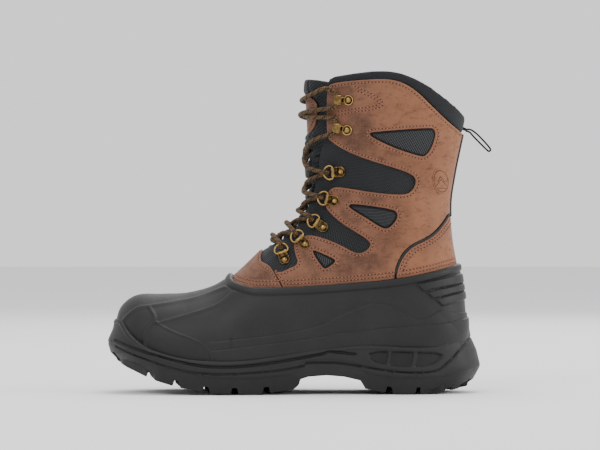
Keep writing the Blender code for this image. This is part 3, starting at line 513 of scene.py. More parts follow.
class Finish:
    """A procedural material under construction; values that hold all over go on the shader itself."""

    def __init__(self, name, roughness=0.6, metallic=0.0, **uniform):
        self.material = bpy.data.materials.new(name)
        self.material.use_nodes = True
        self.tree = self.material.node_tree
        self.shader = self.tree.nodes["Principled BSDF"]
        self.shader.inputs["Roughness"].default_value = roughness
        self.shader.inputs["Metallic"].default_value = metallic
        for key, value in uniform.items():
            self.shader.inputs[key.replace("_", " ")].default_value = value
        self.normal = None

    def put(self, socket, value):
        if isinstance(value, bpy.types.NodeSocket):
            self.tree.links.new(value, socket)
        else:
            socket.default_value = value

    def node(self, kind, inputs, output=0, **settings):
        made = self.tree.nodes.new("ShaderNode" + kind)
        for key, value in settings.items():
            setattr(made, key, value)
        for key, value in inputs.items():
            self.put(made.inputs[key], value)
        return made.outputs[output]

    def place(self):
        return self.node("TexCoord", {}, "Object")

    def field(self, name):
        return self.node("Attribute", {}, "Fac", attribute_name=name)

    def flow(self):
        return self.node("Attribute", {}, "Vector", attribute_name="flow")

    def noise(self, scale, detail, rough, stretch=None):
        at = self.place()
        if stretch:
            at = self.node("Mapping", {"Vector": at, "Scale": stretch})
        return self.node("TexNoise", {"Vector": at, "Scale": scale, "Detail": detail, "Roughness": rough})

    def math(self, operation, a, b=0.0, clamp=False):
        return self.node("Math", {0: a, 1: b}, operation=operation, use_clamp=clamp)

    def span(self, value, low, high, to_low=0.0, to_high=1.0):
        return self.node("MapRange", {"Value": value, "From Min": low, "From Max": high,
                                      "To Min": to_low, "To Max": to_high})

    def mix(self, share, a, b):
        """Colour from a to b; the node's sockets 6 and 7 are its two colours."""
        a, b = ((*v, 1.0) if isinstance(v, tuple) else v for v in (a, b))
        return self.node("Mix", {0: share, 6: a, 7: b}, 2, data_type="RGBA")

    def colour(self, value):
        self.put(self.shader.inputs["Base Color"], value)

    def roughness(self, value):
        self.put(self.shader.inputs["Roughness"], value)

    def bump(self, height, distance):
        """Relief of a height from 0 to 1, with a depth in millimetres."""
        inputs = {"Height": height, "Distance": distance * MM, "Strength": 1.0}
        if self.normal is not None:
            inputs["Normal"] = self.normal
        self.normal = self.node("Bump", inputs)
        self.put(self.shader.inputs["Normal"], self.normal)


def srgb(code):
    """Linear colour of a six-figure hex code."""
    values = [int(code[k:k + 2], 16) / 255 for k in (0, 2, 4)]
    return tuple(v / 12.92 if v <= 0.04045 else ((v + 0.055) / 1.055) ** 2.4 for v in values)


def leather_finish():
    """Oiled nubuck: cloudy browns, paler and warmer to the heel as painted light from the rear, pale raw
    edges, a fine grain and pulled creases.
    """
    f = Finish("leather_nubuck", 0.62, Specular_IOR_Level=0.2, Sheen_Weight=0.04, Sheen_Roughness=0.5)
    cloud = f.noise(34, 4, 0.6)
    colour = f.mix(f.span(cloud, 0.40, 0.60), srgb("482D22"), srgb("6C4735"))
    # Painted light: the leather turns paler and warmer towards the heel, for light falling from the rear.
    split = f.node("SeparateXYZ", {"Vector": f.place()})
    painted_rear_light = f.span(f.math("ADD", split, f.math("MULTIPLY", cloud, 0.05)), 0.085, 0.165)
    colour = f.mix(f.math("MULTIPLY", painted_rear_light, 0.8), colour, srgb("8E5B3D"))
    speck = f.noise(900, 3, 0.7)
    colour = f.mix(f.span(speck, 0.35, 0.75, 0.0, 0.30), colour, srgb("936A50"))
    scuff = f.noise(120, 6, 0.75, stretch=(1, 1, 2.2))
    colour = f.mix(f.span(scuff, 0.52, 0.68, 0.0, 0.55), colour, srgb("351D13"))
    edge = f.field("depth")
    colour = f.mix(f.span(edge, 1.5, 0.1, 0.0, 0.55), colour, srgb("875A42"))
    seam = f.field("seam")
    # Painted highlight along the raised shoulder beside each stitch channel.
    colour = f.mix(f.span(seam, 1.9, 0.6, 0.0, 0.35), colour, srgb("7C5240"))
    # Painted shade down in each stitch channel.
    colour = f.mix(f.span(seam, 0.62, 0.36, 0.0, 0.9), colour, srgb("2E140C"))
    f.colour(colour)
    f.roughness(f.span(scuff, 0.3, 0.75, 0.5, 0.74))
    f.bump(f.noise(1500, 2, 0.6), 0.16)
    f.bump(f.node("TexVoronoi", {"Vector": f.place(), "Scale": 520.0}, "Distance"), 0.12)
    f.bump(f.noise(170, 3, 0.5, stretch=(1, 1, 1.8)), 0.35)
    return f.material


def thread_finish():
    f = Finish("thread_waxed", 0.55, Specular_IOR_Level=0.4)
    twist = f.noise(2600, 1, 0.5)
    colour = f.mix(f.span(twist, 0.35, 0.65), srgb("6E3F2E"), srgb("A07052"))
    # Painted shade: the flat disc at each needle hole is coloured near black.
    f.colour(f.mix(f.field("hole"), colour, srgb("2A0F08")))
    f.bump(twist, 0.12)
    return f.material


def rubber_finish():
    """Moulded rubber: even charcoal with a satin skin, fine mould grain, faint dust and painted shade in and
    beside its grooves.
    """
    f = Finish("rubber_moulded", 0.46, Specular_IOR_Level=0.28)
    cloud = f.noise(26, 4, 0.6)
    colour = f.mix(f.span(cloud, 0.3, 0.7), srgb("161616"), srgb("1D1D1D"))
    dust = f.noise(420, 5, 0.75)
    colour = f.mix(f.span(dust, 0.52, 0.8, 0.0, 0.25), colour, srgb("323231"))
    # Painted shade: darker rubber in and beside grooves, creases, ribs and recesses.
    groove_shade = f.field("groove_shade")
    colour = f.mix(f.span(groove_shade, 0.2, 1.0, 0.0, 0.7), colour, srgb("0B0B0B"))
    f.colour(colour)
    f.roughness(f.span(dust, 0.3, 0.75, 0.44, 0.6))
    f.bump(f.noise(1900, 2, 0.6), 0.06)
    f.bump(f.noise(240, 2, 0.5), 0.1)
    return f.material


def weave_heights(f, pitch):
    """Two crossing families of slanting yarns, each as a wave from -1 to 1."""
    across = f.node("SeparateXYZ", {"Vector": f.flow()})
    up = f.node("SeparateXYZ", {"Vector": f.flow()}, 1)
    rise = f.math("ADD", across, up)
    fall = f.math("SUBTRACT", across, up)
    wave = 2 * PI / pitch
    one = f.math("SINE", f.math("MULTIPLY", rise, wave))
    two = f.math("SINE", f.math("MULTIPLY", fall, wave))
    return one, two


def nylon_finish():
    """Black woven nylon with slanting ribs."""
    f = Finish("nylon_ribbed", 0.55, Specular_IOR_Level=0.22, Sheen_Weight=0.03, Sheen_Roughness=0.4)
    one, two = weave_heights(f, 2.7)
    rib = f.span(one, -1, 1)
    cross = f.span(two, -1, 1)
    height = f.math("MAXIMUM", rib, f.math("MULTIPLY", cross, 0.6))
    colour = f.mix(f.span(height, 0.35, 0.95), srgb("060607"), srgb("222427"))
    f.colour(f.mix(f.span(f.noise(60, 4, 0.6), 0.45, 0.75, 0.0, 0.35), colour, srgb("191A1C")))
    f.bump(height, 0.3)
    f.bump(f.noise(90, 3, 0.5), 0.5)
    return f.material


def mesh_finish():
    """Open spacer mesh in the windows: grey slanting cords over dark holes, with painted shade along its edge
    under the leather.
    """
    f = Finish("window_mesh", 0.6, Specular_IOR_Level=0.22)
    one, two = weave_heights(f, 2.0)
    cord = f.span(one, -0.55, 0.85)
    bar = f.math("MULTIPLY", f.span(two, -0.2, 0.9), 0.55)
    height = f.math("MAXIMUM", cord, bar)
    colour = f.mix(f.span(height, 0.25, 0.9), srgb("050506"), srgb("3C3E41"))
    # Painted shade: the mesh turns near black within about two millimetres of the window's leather edge.
    f.colour(f.mix(f.span(f.field("depth"), 2.8, 2.2), colour, srgb("08080A")))
    f.bump(height, 0.5)
    return f.material


def collar_finish():
    f = Finish("collar_fabric", 0.8, Specular_IOR_Level=0.2, Sheen_Weight=0.06, Sheen_Roughness=0.5)
    fine = f.node("Mapping", {"Vector": f.place(), "Rotation": (0, 0.6, 0)})
    wave = f.node("TexWave", {"Vector": fine, "Scale": 330.0, "Distortion": 1.2, "Detail": 1.0}, 1)
    other = f.node("TexWave", {"Vector": fine, "Scale": 300.0, "Distortion": 1.0}, 1, bands_direction="Z")
    height = f.math("MAXIMUM", wave, f.math("MULTIPLY", other, 0.8))
    f.colour(f.mix(height, srgb("09090A"), srgb("242629")))
    f.bump(height, 0.25)
    f.bump(f.noise(110, 3, 0.5), 0.5)
    return f.material


def brass_finish():
    """Antique brass: bright where it rubs, painted highlights on raised tops, and painted dark reflection in
    the flats and in random patches.
    """
    f = Finish("antique_brass", 0.3, 1.0)
    wear_and_highlight = f.field("wear_and_highlight")
    # Painted reflection: random light and dark patches stand in for the surroundings seen in the metal.
    patch = f.noise(380, 4, 0.65)
    share = f.math("ADD", f.span(wear_and_highlight, 0.2, 1.0, 0.0, 0.9), f.span(patch, 0.35, 0.7, -0.15, 0.22), clamp=True)
    f.colour(f.mix(share, srgb("231910"), srgb("BE9A5C")))
    f.roughness(f.span(share, 0.0, 1.0, 0.5, 0.26))
    f.bump(f.noise(1400, 3, 0.6), 0.03)
    return f.material


LACE_PITCH = 4.4
LACE_CARRIERS = 4


def lace_finish():
    """Round braid: brown carriers with dark flecks, from turns round the cord and millimetres along it."""
    f = Finish("lace_braid", 0.75, Specular_IOR_Level=0.2, Sheen_Weight=0.05, Sheen_Roughness=0.5)
    split = f.node("SeparateXYZ", {"Vector": f.flow()})
    v = f.node("SeparateXYZ", {"Vector": f.flow()}, 1)
    along = f.math("MULTIPLY", split, 2 * PI / LACE_PITCH)
    around = f.math("MULTIPLY", v, 2 * PI * LACE_CARRIERS)
    one = f.math("SINE", f.math("ADD", along, around))
    two = f.math("SINE", f.math("SUBTRACT", along, around))
    cell = f.math("MULTIPLY", one, two)
    fleck = f.math("SINE", f.math("ADD", f.math("MULTIPLY", along, 0.5), f.math("MULTIPLY", around, 0.5)))
    colour = f.mix(f.span(cell, -0.7, 0.8), srgb("19110A"), srgb("70532F"))
    colour = f.mix(f.span(fleck, 0.35, 0.8, 0.0, 0.75), colour, srgb("0F0B08"))
    f.colour(colour)
    f.bump(f.span(cell, -1, 1), 0.25)
    f.bump(f.noise(3000, 1, 0.5), 0.08)
    return f.material


def plain_cloth_finish(name, dark, light, scale=700, depth=0.3, roughness=0.9, sheen=0.3):
    """Napped or felted cloth, or foam, by its colours and the size of its nap."""
    f = Finish(name, roughness, Specular_IOR_Level=0.2, Sheen_Weight=sheen, Sheen_Roughness=0.6)
    nap = f.noise(scale, 5, 0.75)
    f.colour(f.mix(f.span(nap, 0.3, 0.7), srgb(dark), srgb(light)))
    f.bump(nap, depth)
    f.bump(f.noise(scale / 9, 2, 0.5), depth)
    return f.material


def plastic_finish():
    f = Finish("aglet_plastic", 0.4)
    grain = f.noise(900, 3, 0.6)
    f.colour(f.mix(f.span(grain, 0.3, 0.7, 0.0, 0.4), srgb("2A211A"), srgb("3C3A38")))
    f.bump(grain, 0.03)
    return f.material


def steel_finish():
    f = Finish("spring_steel", 0.35, 1.0)
    brush = f.noise(300, 3, 0.6, stretch=(0.1, 1, 1))
    f.colour(f.mix(brush, srgb("7C7F83"), srgb("A9ACB0")))
    f.bump(brush, 0.03)
    return f.material


FINISHES = {
    "leather": leather_finish(),
    "thread": thread_finish(),
    "rubber": rubber_finish(),
    "nylon": nylon_finish(),
    "mesh_fabric": mesh_finish(),
    "collar_fabric": collar_finish(),
    "cord": plain_cloth_finish("piping_cord", "101011", "242528", 1800, 0.12, 0.7, 0.1),
    "lining": plain_cloth_finish("fleece_lining", "26282B", "4A4D52", 500, 0.5),
    "insulation": plain_cloth_finish("felt_insulation", "A8A49A", "CFCBC0", 300, 0.5),
    "foam": plain_cloth_finish("moulded_foam", "303234", "46484B", 1200, 0.15, 0.8, 0.0),
    "board": plain_cloth_finish("fibre_board", "8A7A5C", "A99A7B", 260, 0.1, 0.85, 0.0),
    "steel": steel_finish(),
    "brass": brass_finish(),
    "lace": lace_finish(),
    "aglet_plastic": plastic_finish(),
}


def settle(obj, slot, body, nodes=()):
    """Gives a piece the finish of its slot, attaches it to its CAD body, and hides the CAD nodes it stands
    for.
    """
    obj.data.materials.clear()
    obj.data.materials.append(FINISHES[slot])
    if nodes:
        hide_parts(*nodes)
    if body:
        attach(obj, body)
    return obj


# --- Stitching ------------------------------------------------------------------------------------

STITCH_PITCH = 2.9
STITCH_LENGTH = 1.9
STITCH_RADIUS = 0.4
STITCH_SIDES = 6
HOLE_RADIUS = 0.5
# Shares of the length and the width at each ring of a stitch, and at each ring of a hole.
STITCH_RINGS = [(-0.5, 0.3), (-0.4, 0.85), (0.0, 1.0), (0.4, 0.85), (0.5, 0.3)]
HOLE_RINGS = [(-1, 0.2), (-0.6, 0.8), (0, 1.0), (0.6, 0.8), (1, 0.2)]
LINE_STEP = 0.5
# A laid point further than this from its line lies on the hidden side.
LINE_MISS = 0.35
SHORTEST_RUN = 7
LEATHER_TOP_OFFSET = 2.0
THREADS = {}


def lay_line(line, side, offset):
    """Runs of surface points and normals under an XZ line, where that side of the boot shows it."""
    line = resample(line, LINE_STEP)
    place, turn = place_under(line[:, 0], line[:, 1], side, offset)
    points = skin_point(place, turn, offset)
    normals = skin_normal(place, turn)
    good = np.hypot(points[:, 0] - line[:, 0], points[:, 2] - line[:, 1]) < LINE_MISS
    good &= place < LAST - 0.01
    runs = []
    for k in np.flatnonzero(good):
        if runs and runs[-1][-1] == k - 1:
            runs[-1].append(k)
        else:
            runs.append([k])
    return [(points[run], normals[run]) for run in runs if len(run) >= SHORTEST_RUN]


def sew(thread, line, sides=(LATERAL, MEDIAL), offset=LEATHER_TOP_OFFSET):
    """Adds a row of stitches to a thread, under an XZ line."""
    for side in sides:
        for points, normals in lay_line(line, side, offset):
            sew_run(thread, points, normals)


def sew_run(thread, points, normals):
    lengths = run_lengths(points)
    if lengths[-1] < STITCH_PITCH * 2:
        return
    count = int(lengths[-1] / STITCH_PITCH)
    at = (np.arange(count) + 0.5) * lengths[-1] / count

    def along(where, values):
        return np.stack([np.interp(where, lengths, values[:, k]) for k in range(3)], 1)

    middle = along(at, points)
    heading = unit(along(at + 0.4, points) - along(at - 0.4, points))
    up = unit(along(at, normals))
    THREADS.setdefault(thread, []).append((middle, heading, up))


def stitch_template():
    """One arched stitch and a flat dark disc after it, painted as the shade in its needle hole: points,
    faces, and 1 where a point is the disc's.
    """
    angles = np.arange(STITCH_SIDES) * 2 * PI / STITCH_SIDES
    points = []
    for share, width in STITCH_RINGS:
        for a in angles:
            points.append((share * STITCH_LENGTH, math.cos(a) * width * STITCH_RADIUS * 1.15,
                           math.sin(a) * width * STITCH_RADIUS + 0.1 - 0.9 * share ** 2))
    hole = len(points)
    for share, width in HOLE_RINGS:
        for a in angles:
            points.append((STITCH_PITCH / 2 + share * HOLE_RADIUS, math.cos(a) * width * HOLE_RADIUS,
                           math.sin(a) * width * 0.14 - 0.02))
    faces = grid_faces(len(STITCH_RINGS), STITCH_SIDES)
    faces += [[hole + k for k in face] for face in faces]
    return np.array(points), faces, (np.arange(len(points)) >= hole).astype(float)


def thread_object(name, body):
    """All the stitches of one thread and their holes."""
    template, faces, dark = stitch_template()
    middle, heading, up = (np.concatenate(part) for part in zip(*THREADS[name]))
    across = unit(np.cross(up, heading))
    up = np.cross(heading, across)
    basis = np.stack([heading, across, up], 1)
    points = middle[:, None] + np.einsum("pk,nkj->npj", template, basis)
    size = len(template)
    every = [tuple(n * size + k for k in face) for n in range(len(middle)) for face in faces]
    obj = new_object(name, points.reshape(-1, 3), every, 0, {"hole": np.tile(dark, len(middle))})
    return settle(obj, "thread", body)


# --- Rubber shell ---------------------------------------------------------------------------------

RIM = [(-54, 97), (-47.6, 92.7), (-38, 89.8), (-27.3, 88.6), (22.5, 90.6), (86.1, 96.1), (118.6, 102.6),
       (140.6, 108.8), (175, 118)]
SHELL_OFFSET = 4.6
SHELL_INNER = 2.2
SHELL_PITCH = 0.92
SHELL_LEVELS = (0.0, 0.35, 0.9, 1.8, 3.0, 4.4, 5.4, 6.1, 6.9)
BEAD_HEIGHT = 6.2
# Creases of the shell's side, each raising what lies below it.
STEP_LINES = [
    [(-66.7, 43.3), (-11.5, 49.8), (22.5, 57), (36.2, 64.1), (60.1, 73.7), (72, 75.5), (83.9, 71.9),
     (95.9, 65.3), (105.4, 61.7), (113.7, 64.1), (123.3, 69.4), (131.7, 68.3), (160, 66)],
    [(-66.7, 36.1), (-11.5, 42.7), (22.5, 47.4), (36.2, 50.4), (72, 54.6), (107.8, 57), (131.7, 59.9),
     (160, 66)],
]
# Ridges moulded over the toe.
TOE_BAND = [(-57.1, 89.2), (-81, 80.2), (-98.9, 76.7), (-120.4, 73.1), (-131.1, 71.3), (-140.6, 64.1),
            (-144.2, 57), (-138.2, 47.4), (-122.7, 37.9), (-116, 32)]
TOE_SIDE = [(-50, 85.6), (-63.1, 74.9), (-87, 66.5), (-113.2, 59.3)]
TOE_PANEL = [(-120.4, 71.3), (-115.6, 62.3), (-113.2, 59.3), (-98.9, 52.2), (-81, 46.2), (-72.7, 40.3),
             (-67.8, 34.3), (-67.2, 24), (-125, 24), (-125.1, 47.4), (-121.6, 54.6), (-115.6, 62.3)]
TOE_CAP = [(-120.4, 71.3), (-115.6, 62.3), (-121.6, 54.6), (-125.1, 47.4), (-125.1, 34)]
HEEL_RIBS = [
    [(103.6, 91.7), (155, 102.8), (155, 95.2), (108.6, 86.2)],
    [(111.6, 85.1), (155, 93.6), (155, 89.0), (117.0, 80.0)],
    [(119.2, 79.1), (155, 87.3), (155, 81.2), (124.6, 73.7)],
]


def step_heights(points):
    """Heights over each crease of the side."""
    return [height_over(catmull(line, 1.5), points[:, [0, 2]]) for line in STEP_LINES]


def rib_depth(points):
    """How far inside the nearest heel rib each point lies."""
    nearest = np.full(len(points), -99.0)
    for rib in HEEL_RIBS:
        nearest = np.maximum(nearest, inside_depth(points[:, [0, 2]], rib))
    return nearest


def shell_relief(points):
    """Height of the mouldings over the shell, and how much painted shade each point gets in and beside its
    grooves.
    """
    xz = points[:, [0, 2]]
    relief = np.zeros(len(xz))
    groove_shade = np.zeros(len(xz))
    for over, rise in zip(step_heights(points), (1.0, 1.3)):
        relief += rise * (1 - ramp(over, -0.5, 0.5)) * ramp(xz[:, 0], -72, -62)
        # Painted shade just above each crease, at the foot of its step.
        groove_shade += 0.7 * hump(over, 0.8, 0.7) * ramp(xz[:, 0], -70, -62)
    for line, rise, width in ((TOE_BAND, 1.0, 1.25), (TOE_SIDE, 0.95, 1.15), (TOE_CAP, 0.95, 1.05)):
        distance = line_distance(xz, catmull(line, 1.5))
        relief += rise * hump(distance, 0, width)
        # Painted shade along both sides of each toe ridge.
        groove_shade += 0.5 * hump(distance, 2.1, 0.8)
    signed = inside_depth(xz, smooth_line(TOE_PANEL, 1.5, closed=True, rounds=1))
    relief += 0.6 * ramp(signed, -0.5, 0.8) + 0.5 * hump(signed, 0.9, 0.8)
    rib = rib_depth(points)
    relief += 1.5 * ramp(rib, -0.5, 0.6)
    # Painted shade in a band just outside each heel rib.
    groove_shade += (1 - ramp(rib, -0.5, 0.3)) * ramp(rib, -2.2, -1.2)
    return relief, groove_shade.clip(0, 1)


def build_shell():
    patch = Patch((0, 14), (0, 2 * PI), SHELL_PITCH, closed=True)
    rim = smooth_line([(-54, 330)] + RIM + [(175, 330)], 2.5, closed=True, rounds=1)
    patch.fields["under"] = -outline_depth(patch.at(SHELL_OFFSET), patch.normals(), rim)
    for level in SHELL_LEVELS:
        patch.cut("under", level, "above" if level == 0 else "both")
    for k, over in enumerate(step_heights(patch.at(SHELL_OFFSET))):
        patch.fields[f"step_{k}"] = over
    patch.fields["rib"] = rib_depth(patch.at(SHELL_OFFSET))
    for name in ("step_0", "step_1", "rib"):
        for level in (-0.5, 0.5):
            patch.cut(name, level, "both")
    patch.compact()
    under = patch.fields["under"]
    points = patch.at(SHELL_OFFSET)
    relief, groove_shade = shell_relief(points)
    relief *= ramp(under, 6.5, 8.5)
    groove_shade *= ramp(under, 6.5, 8.5)
    across = (under - BEAD_HEIGHT / 2) / (BEAD_HEIGHT / 2)
    bead = 1.35 * np.sqrt((1 - across ** 2).clip(0)) - 0.35 * hump(under, 7.0, 0.6)
    lip = -0.5 * (1 - ramp(under, 0, 1.0))
    # Painted shade: a dark line under the rim bead.
    groove_shade = np.maximum(groove_shade, hump(under, 6.9, 0.7))
    relief = relief + bead + lip + 0.12 * ripple(points, 40, 3)
    shell = layer_object("rubber_shell_moulded", patch, SHELL_OFFSET + relief, SHELL_INNER,
                         {"groove_shade": groove_shade}, closed=False)
    settle(shell, "rubber", "root", ["rubber_shell"])


# --- Outsole --------------------------------------------------------------------------------------

OUTSOLE_TOP = [(-160, 60.5), (-152.6, 60.5), (-144.2, 52.2), (-128.7, 41.5), (-116.8, 35.5), (-92.9, 29.5),
               (-66.7, 27.1), (-39.3, 27.7), (-9.4, 31.9), (22.5, 36.7), (60.1, 40.3), (95.9, 38.5),
               (119.7, 39.1), (130.5, 42.5), (139, 50), (146.5, 58.5), (160, 58.5)]
HEEL_PROFILE = [(0, 131), (2.4, 134), (4.5, 143.6), (10.5, 153.1), (20, 158.4), (23.5, 158.4), (35.5, 155.5),
                (46.2, 150.7), (57, 148.9), (61, 146.5)]
TOE_PROFILE = [(18, 136), (22, 141), (28.3, 151.4), (33.5, 156.4), (40.3, 158.5), (44.4, 157.7),
               (53.4, 153.8), (62, 152)]
TREAD_LINE = [(-160, 29), (-151.4, 28.3), (-140.6, 21.8), (-120.4, 12.8), (-97.7, 6.3), (-81, 3.3),
              (-71.5, 0.9), (-52.4, 0), (-27.3, 0), (0, 3.9), (4.8, 8), (5.6, 12.4), (12.3, 14.6),
              (27.9, 15.8), (42.2, 14.6), (56.0, 11.4), (60.1, 4.5), (72, 2.1), (83.9, 0), (119.7, 0),
              (132.9, 2.4), (143.6, 4.5), (160, 8)]
LUG_GAPS = (-119, -97.7, -72.7, -48.9, -22.5, 80.3, 105.4, 131.7)
LUG_DEPTH = 5.5
LUG_SLANT = 6
LUG_WALL = 13.5
SOLE_PITCH = 0.86
SOLE_WALL_ROWS = 46
SOLE_TREAD_ROWS = 52
# How far each row of the sole's lip lies inward and above its edge.
SOLE_LIPS = ((9.0, -0.5), (5.0, 0.6), (1.1, 0.7), (0.35, 0.45))
TOE_REACH = 158.5
HEEL_REACH = 158.4
OUTSOLE_PLAN = [(-158.5, 6), (-156.5, -12), (-149, -28), (-136, -42), (-115, -54), (-88, -60.5), (-58, -61.5),
                (-25, -57), (20, -51.5), (70, -50), (110, -48.5), (138, -38), (152, -22), (158.4, 0),
                (152, 22), (138, 38), (110, 48), (70, 47), (20, 49), (-25, 55.5), (-58, 61), (-88, 60.5),
                (-115, 55.5), (-136, 46), (-149, 35), (-156.5, 22)]
GROOVES = [
    [(-150, 44), (-128.7, 36.5), (-116.8, 33.2), (-81, 24.7), (-51.2, 23), (-15.4, 26.5), (22.5, 33.2),
     (30.3, 35.5), (51.8, 33.2)],
    [(-150, 39), (-128.7, 30.7), (-92.9, 20), (-57.1, 17), (-15.4, 19.4), (8.5, 23.5), (12.3, 25.9),
     (36.1, 25.9), (60.1, 22.4), (89.9, 18.2), (117.3, 18.8), (129.3, 25.9), (143.6, 40.3), (150, 46)],
]
RECESS = [(62.5, 36.1), (95, 35.4), (127.5, 34.3), (122.1, 27.1), (113.7, 23), (98, 22.4), (81.5, 23),
          (63.7, 27.7)]
RECESS_BARS = (79.7, 101.2)


def tread_height(x, y):
    """Height of the sole's underside: its profile, the gaps across it and the channel along it."""
    x, y = np.broadcast_arrays(x, y)
    profile = table_at(TREAD_LINE, x)
    inward = 1 - np.clip(np.abs(y) / 46, 0, 1)
    at = x + LUG_SLANT * inward
    gap = np.zeros(x.shape)
    for middle in LUG_GAPS:
        gap = np.maximum(gap, 1 - ramp(np.abs(at - middle), 1.9, 3.5))
    zigzag = 12 * np.abs(((x / 12.5) % 2) - 1) - 6
    for centre in (-16, 16):
        beside_channel = np.abs(np.abs(y) * np.sign(centre) - centre - zigzag * 0.35)
        gap = np.maximum(gap, 1 - ramp(beside_channel, 1.6, 2.8))
    waist = ramp(x, 2, 7) * (1 - ramp(x, 54, 60))
    return profile + LUG_DEPTH * gap * (1 - 0.85 * waist)


def wall_relief(x, z):
    """How far the sole's side is let in, and how much painted shade each point gets in its grooves and
    recess.
    """
    xz = np.stack([x, z], 1)
    inset = np.zeros(len(x))
    groove_shade = np.zeros(len(x))
    for line, width, depth in zip(GROOVES, (1.1, 0.9), (1.5, 1.2)):
        distance = line_distance(xz, catmull(line, 1.5))
        inset += depth * (1 - ramp(distance, width * 0.4, width * 1.3))
        # Painted shade down each groove of the sole's side.
        groove_shade += 1 - ramp(distance, width * 0.5, width * 1.6)
    signed = inside_depth(xz, smooth_line(RECESS, 1.0, closed=True, rounds=1))
    for bar in RECESS_BARS:
        signed = np.minimum(signed, np.abs(x - bar - (z - 29) * 0.18) - 1.3)
    inset += 2.2 * ramp(signed, -0.2, 1.1)
    # Painted shade in the recess.
    groove_shade += 0.75 * ramp(signed, 0, 0.9)
    return inset, groove_shade.clip(0, 1)


def sole_ring():
    """Even points round the outsole's plan, and the outward direction at each."""
    plan = np.array(OUTSOLE_PLAN + OUTSOLE_PLAN[:1], float)
    ring = catmull(np.concatenate([plan[-3:-1], plan, plan[1:3]]), 0.35)
    from_start = np.hypot(*(ring - plan[0]).T)
    start = from_start[:len(ring) // 3].argmin()
    end = len(ring) // 2 + from_start[len(ring) // 2:].argmin()
    ring = resample(ring[start:end], SOLE_PITCH, closed=True)
    ahead = unit(np.roll(ring, -1, 0) - np.roll(ring, 1, 0))
    outward = np.stack([ahead[:, 1], -ahead[:, 0]], 1)
    if (outward * ring).sum() < 0:
        outward = -outward
    return ring, outward


def wall_row(ring, outward, low, top, share):
    """A row of points round the sole's side, from its foot at share 0 to its top at 1, and its painted groove
    shade.
    """
    x = ring[:, 0]
    z = low + (top - low) * share
    xy = ring * np.interp(z, (-1, 16, 64), (0.94, 1.0, 0.97))[:, None]
    toe = table_at(TOE_PROFILE, z) / TOE_REACH
    heel = table_at(HEEL_PROFILE, z) / HEEL_REACH
    toe = 1 + (toe - 1) * ramp(-x, 95, 155)
    heel = 1 + (heel - 1) * ramp(x, 95, 155)
    xy[:, 0] = x * toe * heel
    inset, groove_shade = wall_relief(xy[:, 0], z)
    edge = ramp(top - z, 0.2, 2.0)
    ridge = 0.55 * hump(top - z, 1.6, 1.0)
    above_tread = z - table_at(TREAD_LINE, x)
    lug = 0.7 * ramp(LUG_WALL - above_tread, -1, 1)
    xy = xy + outward * (ridge - inset * edge - lug)[:, None]
    return np.column_stack([xy, z]), groove_shade * edge


def lip_row(row, outward, inward, rise):
    """A row moved towards the upper and up, for the lip that meets it."""
    lip = row.copy()
    lip[:, :2] -= outward * inward
    lip[:, 2] += rise
    return lip


def tread_row(row, share):
    """A row drawn in over the underside, to its middle line at share 0."""
    x = row[:, 0] * (0.25 * share + 0.75)
    y = row[:, 1] * share
    return np.column_stack([x, y, tread_height(x, np.abs(y))])


def build_outsole():
    ring, outward = sole_ring()
    low = tread_height(ring[:, 0], ring[:, 1])
    top = table_at(catmull(OUTSOLE_TOP, 2), ring[:, 0])
    wall = [wall_row(ring, outward, low, top, share) for share in np.linspace(1, 0, SOLE_WALL_ROWS)]
    first, last = wall[0][0], wall[-1][0]
    plain = np.zeros(len(ring))
    rows = [(lip_row(first, outward, inward, rise), plain) for inward, rise in SOLE_LIPS]
    rows += wall
    for share in np.concatenate([[0.985], np.linspace(0.96, 0.0, SOLE_TREAD_ROWS)]):
        rows.append((tread_row(last, share), plain))
    points, groove_shades = (np.concatenate(part) for part in zip(*rows))
    faces = grid_faces(len(rows), len(ring), caps=False)
    sole = new_object("outsole_lugged", points, faces, 60, {"groove_shade": groove_shades})
    settle(sole, "rubber", "root", ["outsole"])


build_shell()
build_outsole()

# --- Leather, nylon and mesh ----------------------------------------------------------------------

LEATHER_TOP = [(27.5, 256.8), (32.7, 260.7), (71.8, 263.6), (87.4, 262), (101.7, 254.8), (118.6, 238.6),
               (131.7, 226.9), (144.7, 217.8), (165, 203.5)]
COUNTER_EDGE = [(133, 150.6), (129, 143.6), (119.9, 133.2), (109.6, 127.3), (101.7, 124.1), (93.9, 117.6),
                (88.7, 108.5), (86.1, 99.4)]
QUARTER_FRONT = [(-18, 105), (-11.5, 101.3), (-3.7, 105.2), (2.1, 107.6), (3.8, 111.1), (1.5, 116.3),
                 (-0.4, 125.4), (3, 130.5), (12, 133.9), (27.5, 130), (40.5, 124.1), (49.6, 118.9),
                 (56.2, 117.3), (62.7, 120.9), (65.3, 126.7), (53.6, 134.5), (40.5, 142.3), (31.5, 150.1),
                 (26.3, 156.6), (26.8, 164.2), (31.5, 173.8), (47.1, 171.6), (66.6, 168.3), (93.9, 166),
                 (101.1, 170.9), (103.7, 178.8), (99.1, 183.9), (86.1, 188.5), (66.6, 194.3), (53.6, 198.9),
                 (40.5, 204.8), (31.5, 211.2), (27.5, 215.2)]
WINDOWS = [
    [(62.6, 217.8), (66.6, 219), (113.4, 222.7), (118.6, 221.7), (119.9, 216.5), (116, 204.8), (110.8, 198.9),
     (106.9, 198.5), (86.1, 204.8), (66.6, 213.9)],
    [(45.8, 157.9), (49.6, 159.2), (82.2, 154.7), (87.4, 151.5), (86.8, 146.2), (82.2, 140.4), (78.3, 138),
     (73.1, 139.1), (60.1, 147.5), (47.1, 155.3)],
    [(15.2, 120.2), (18.4, 120.2), (34.1, 113.1), (35.6, 110.8), (27.5, 104.8), (25, 105.2), (19.7, 112.4)],
]
NYLON_FRONT = [(27.5, 215), (21.7, 200.8), (20.8, 183.8), (17.4, 171), (13.2, 158.3), (5.5, 143.8),
               (-3, 132.8), (-21.7, 122.6), (-29, 118), (-45, 103)]
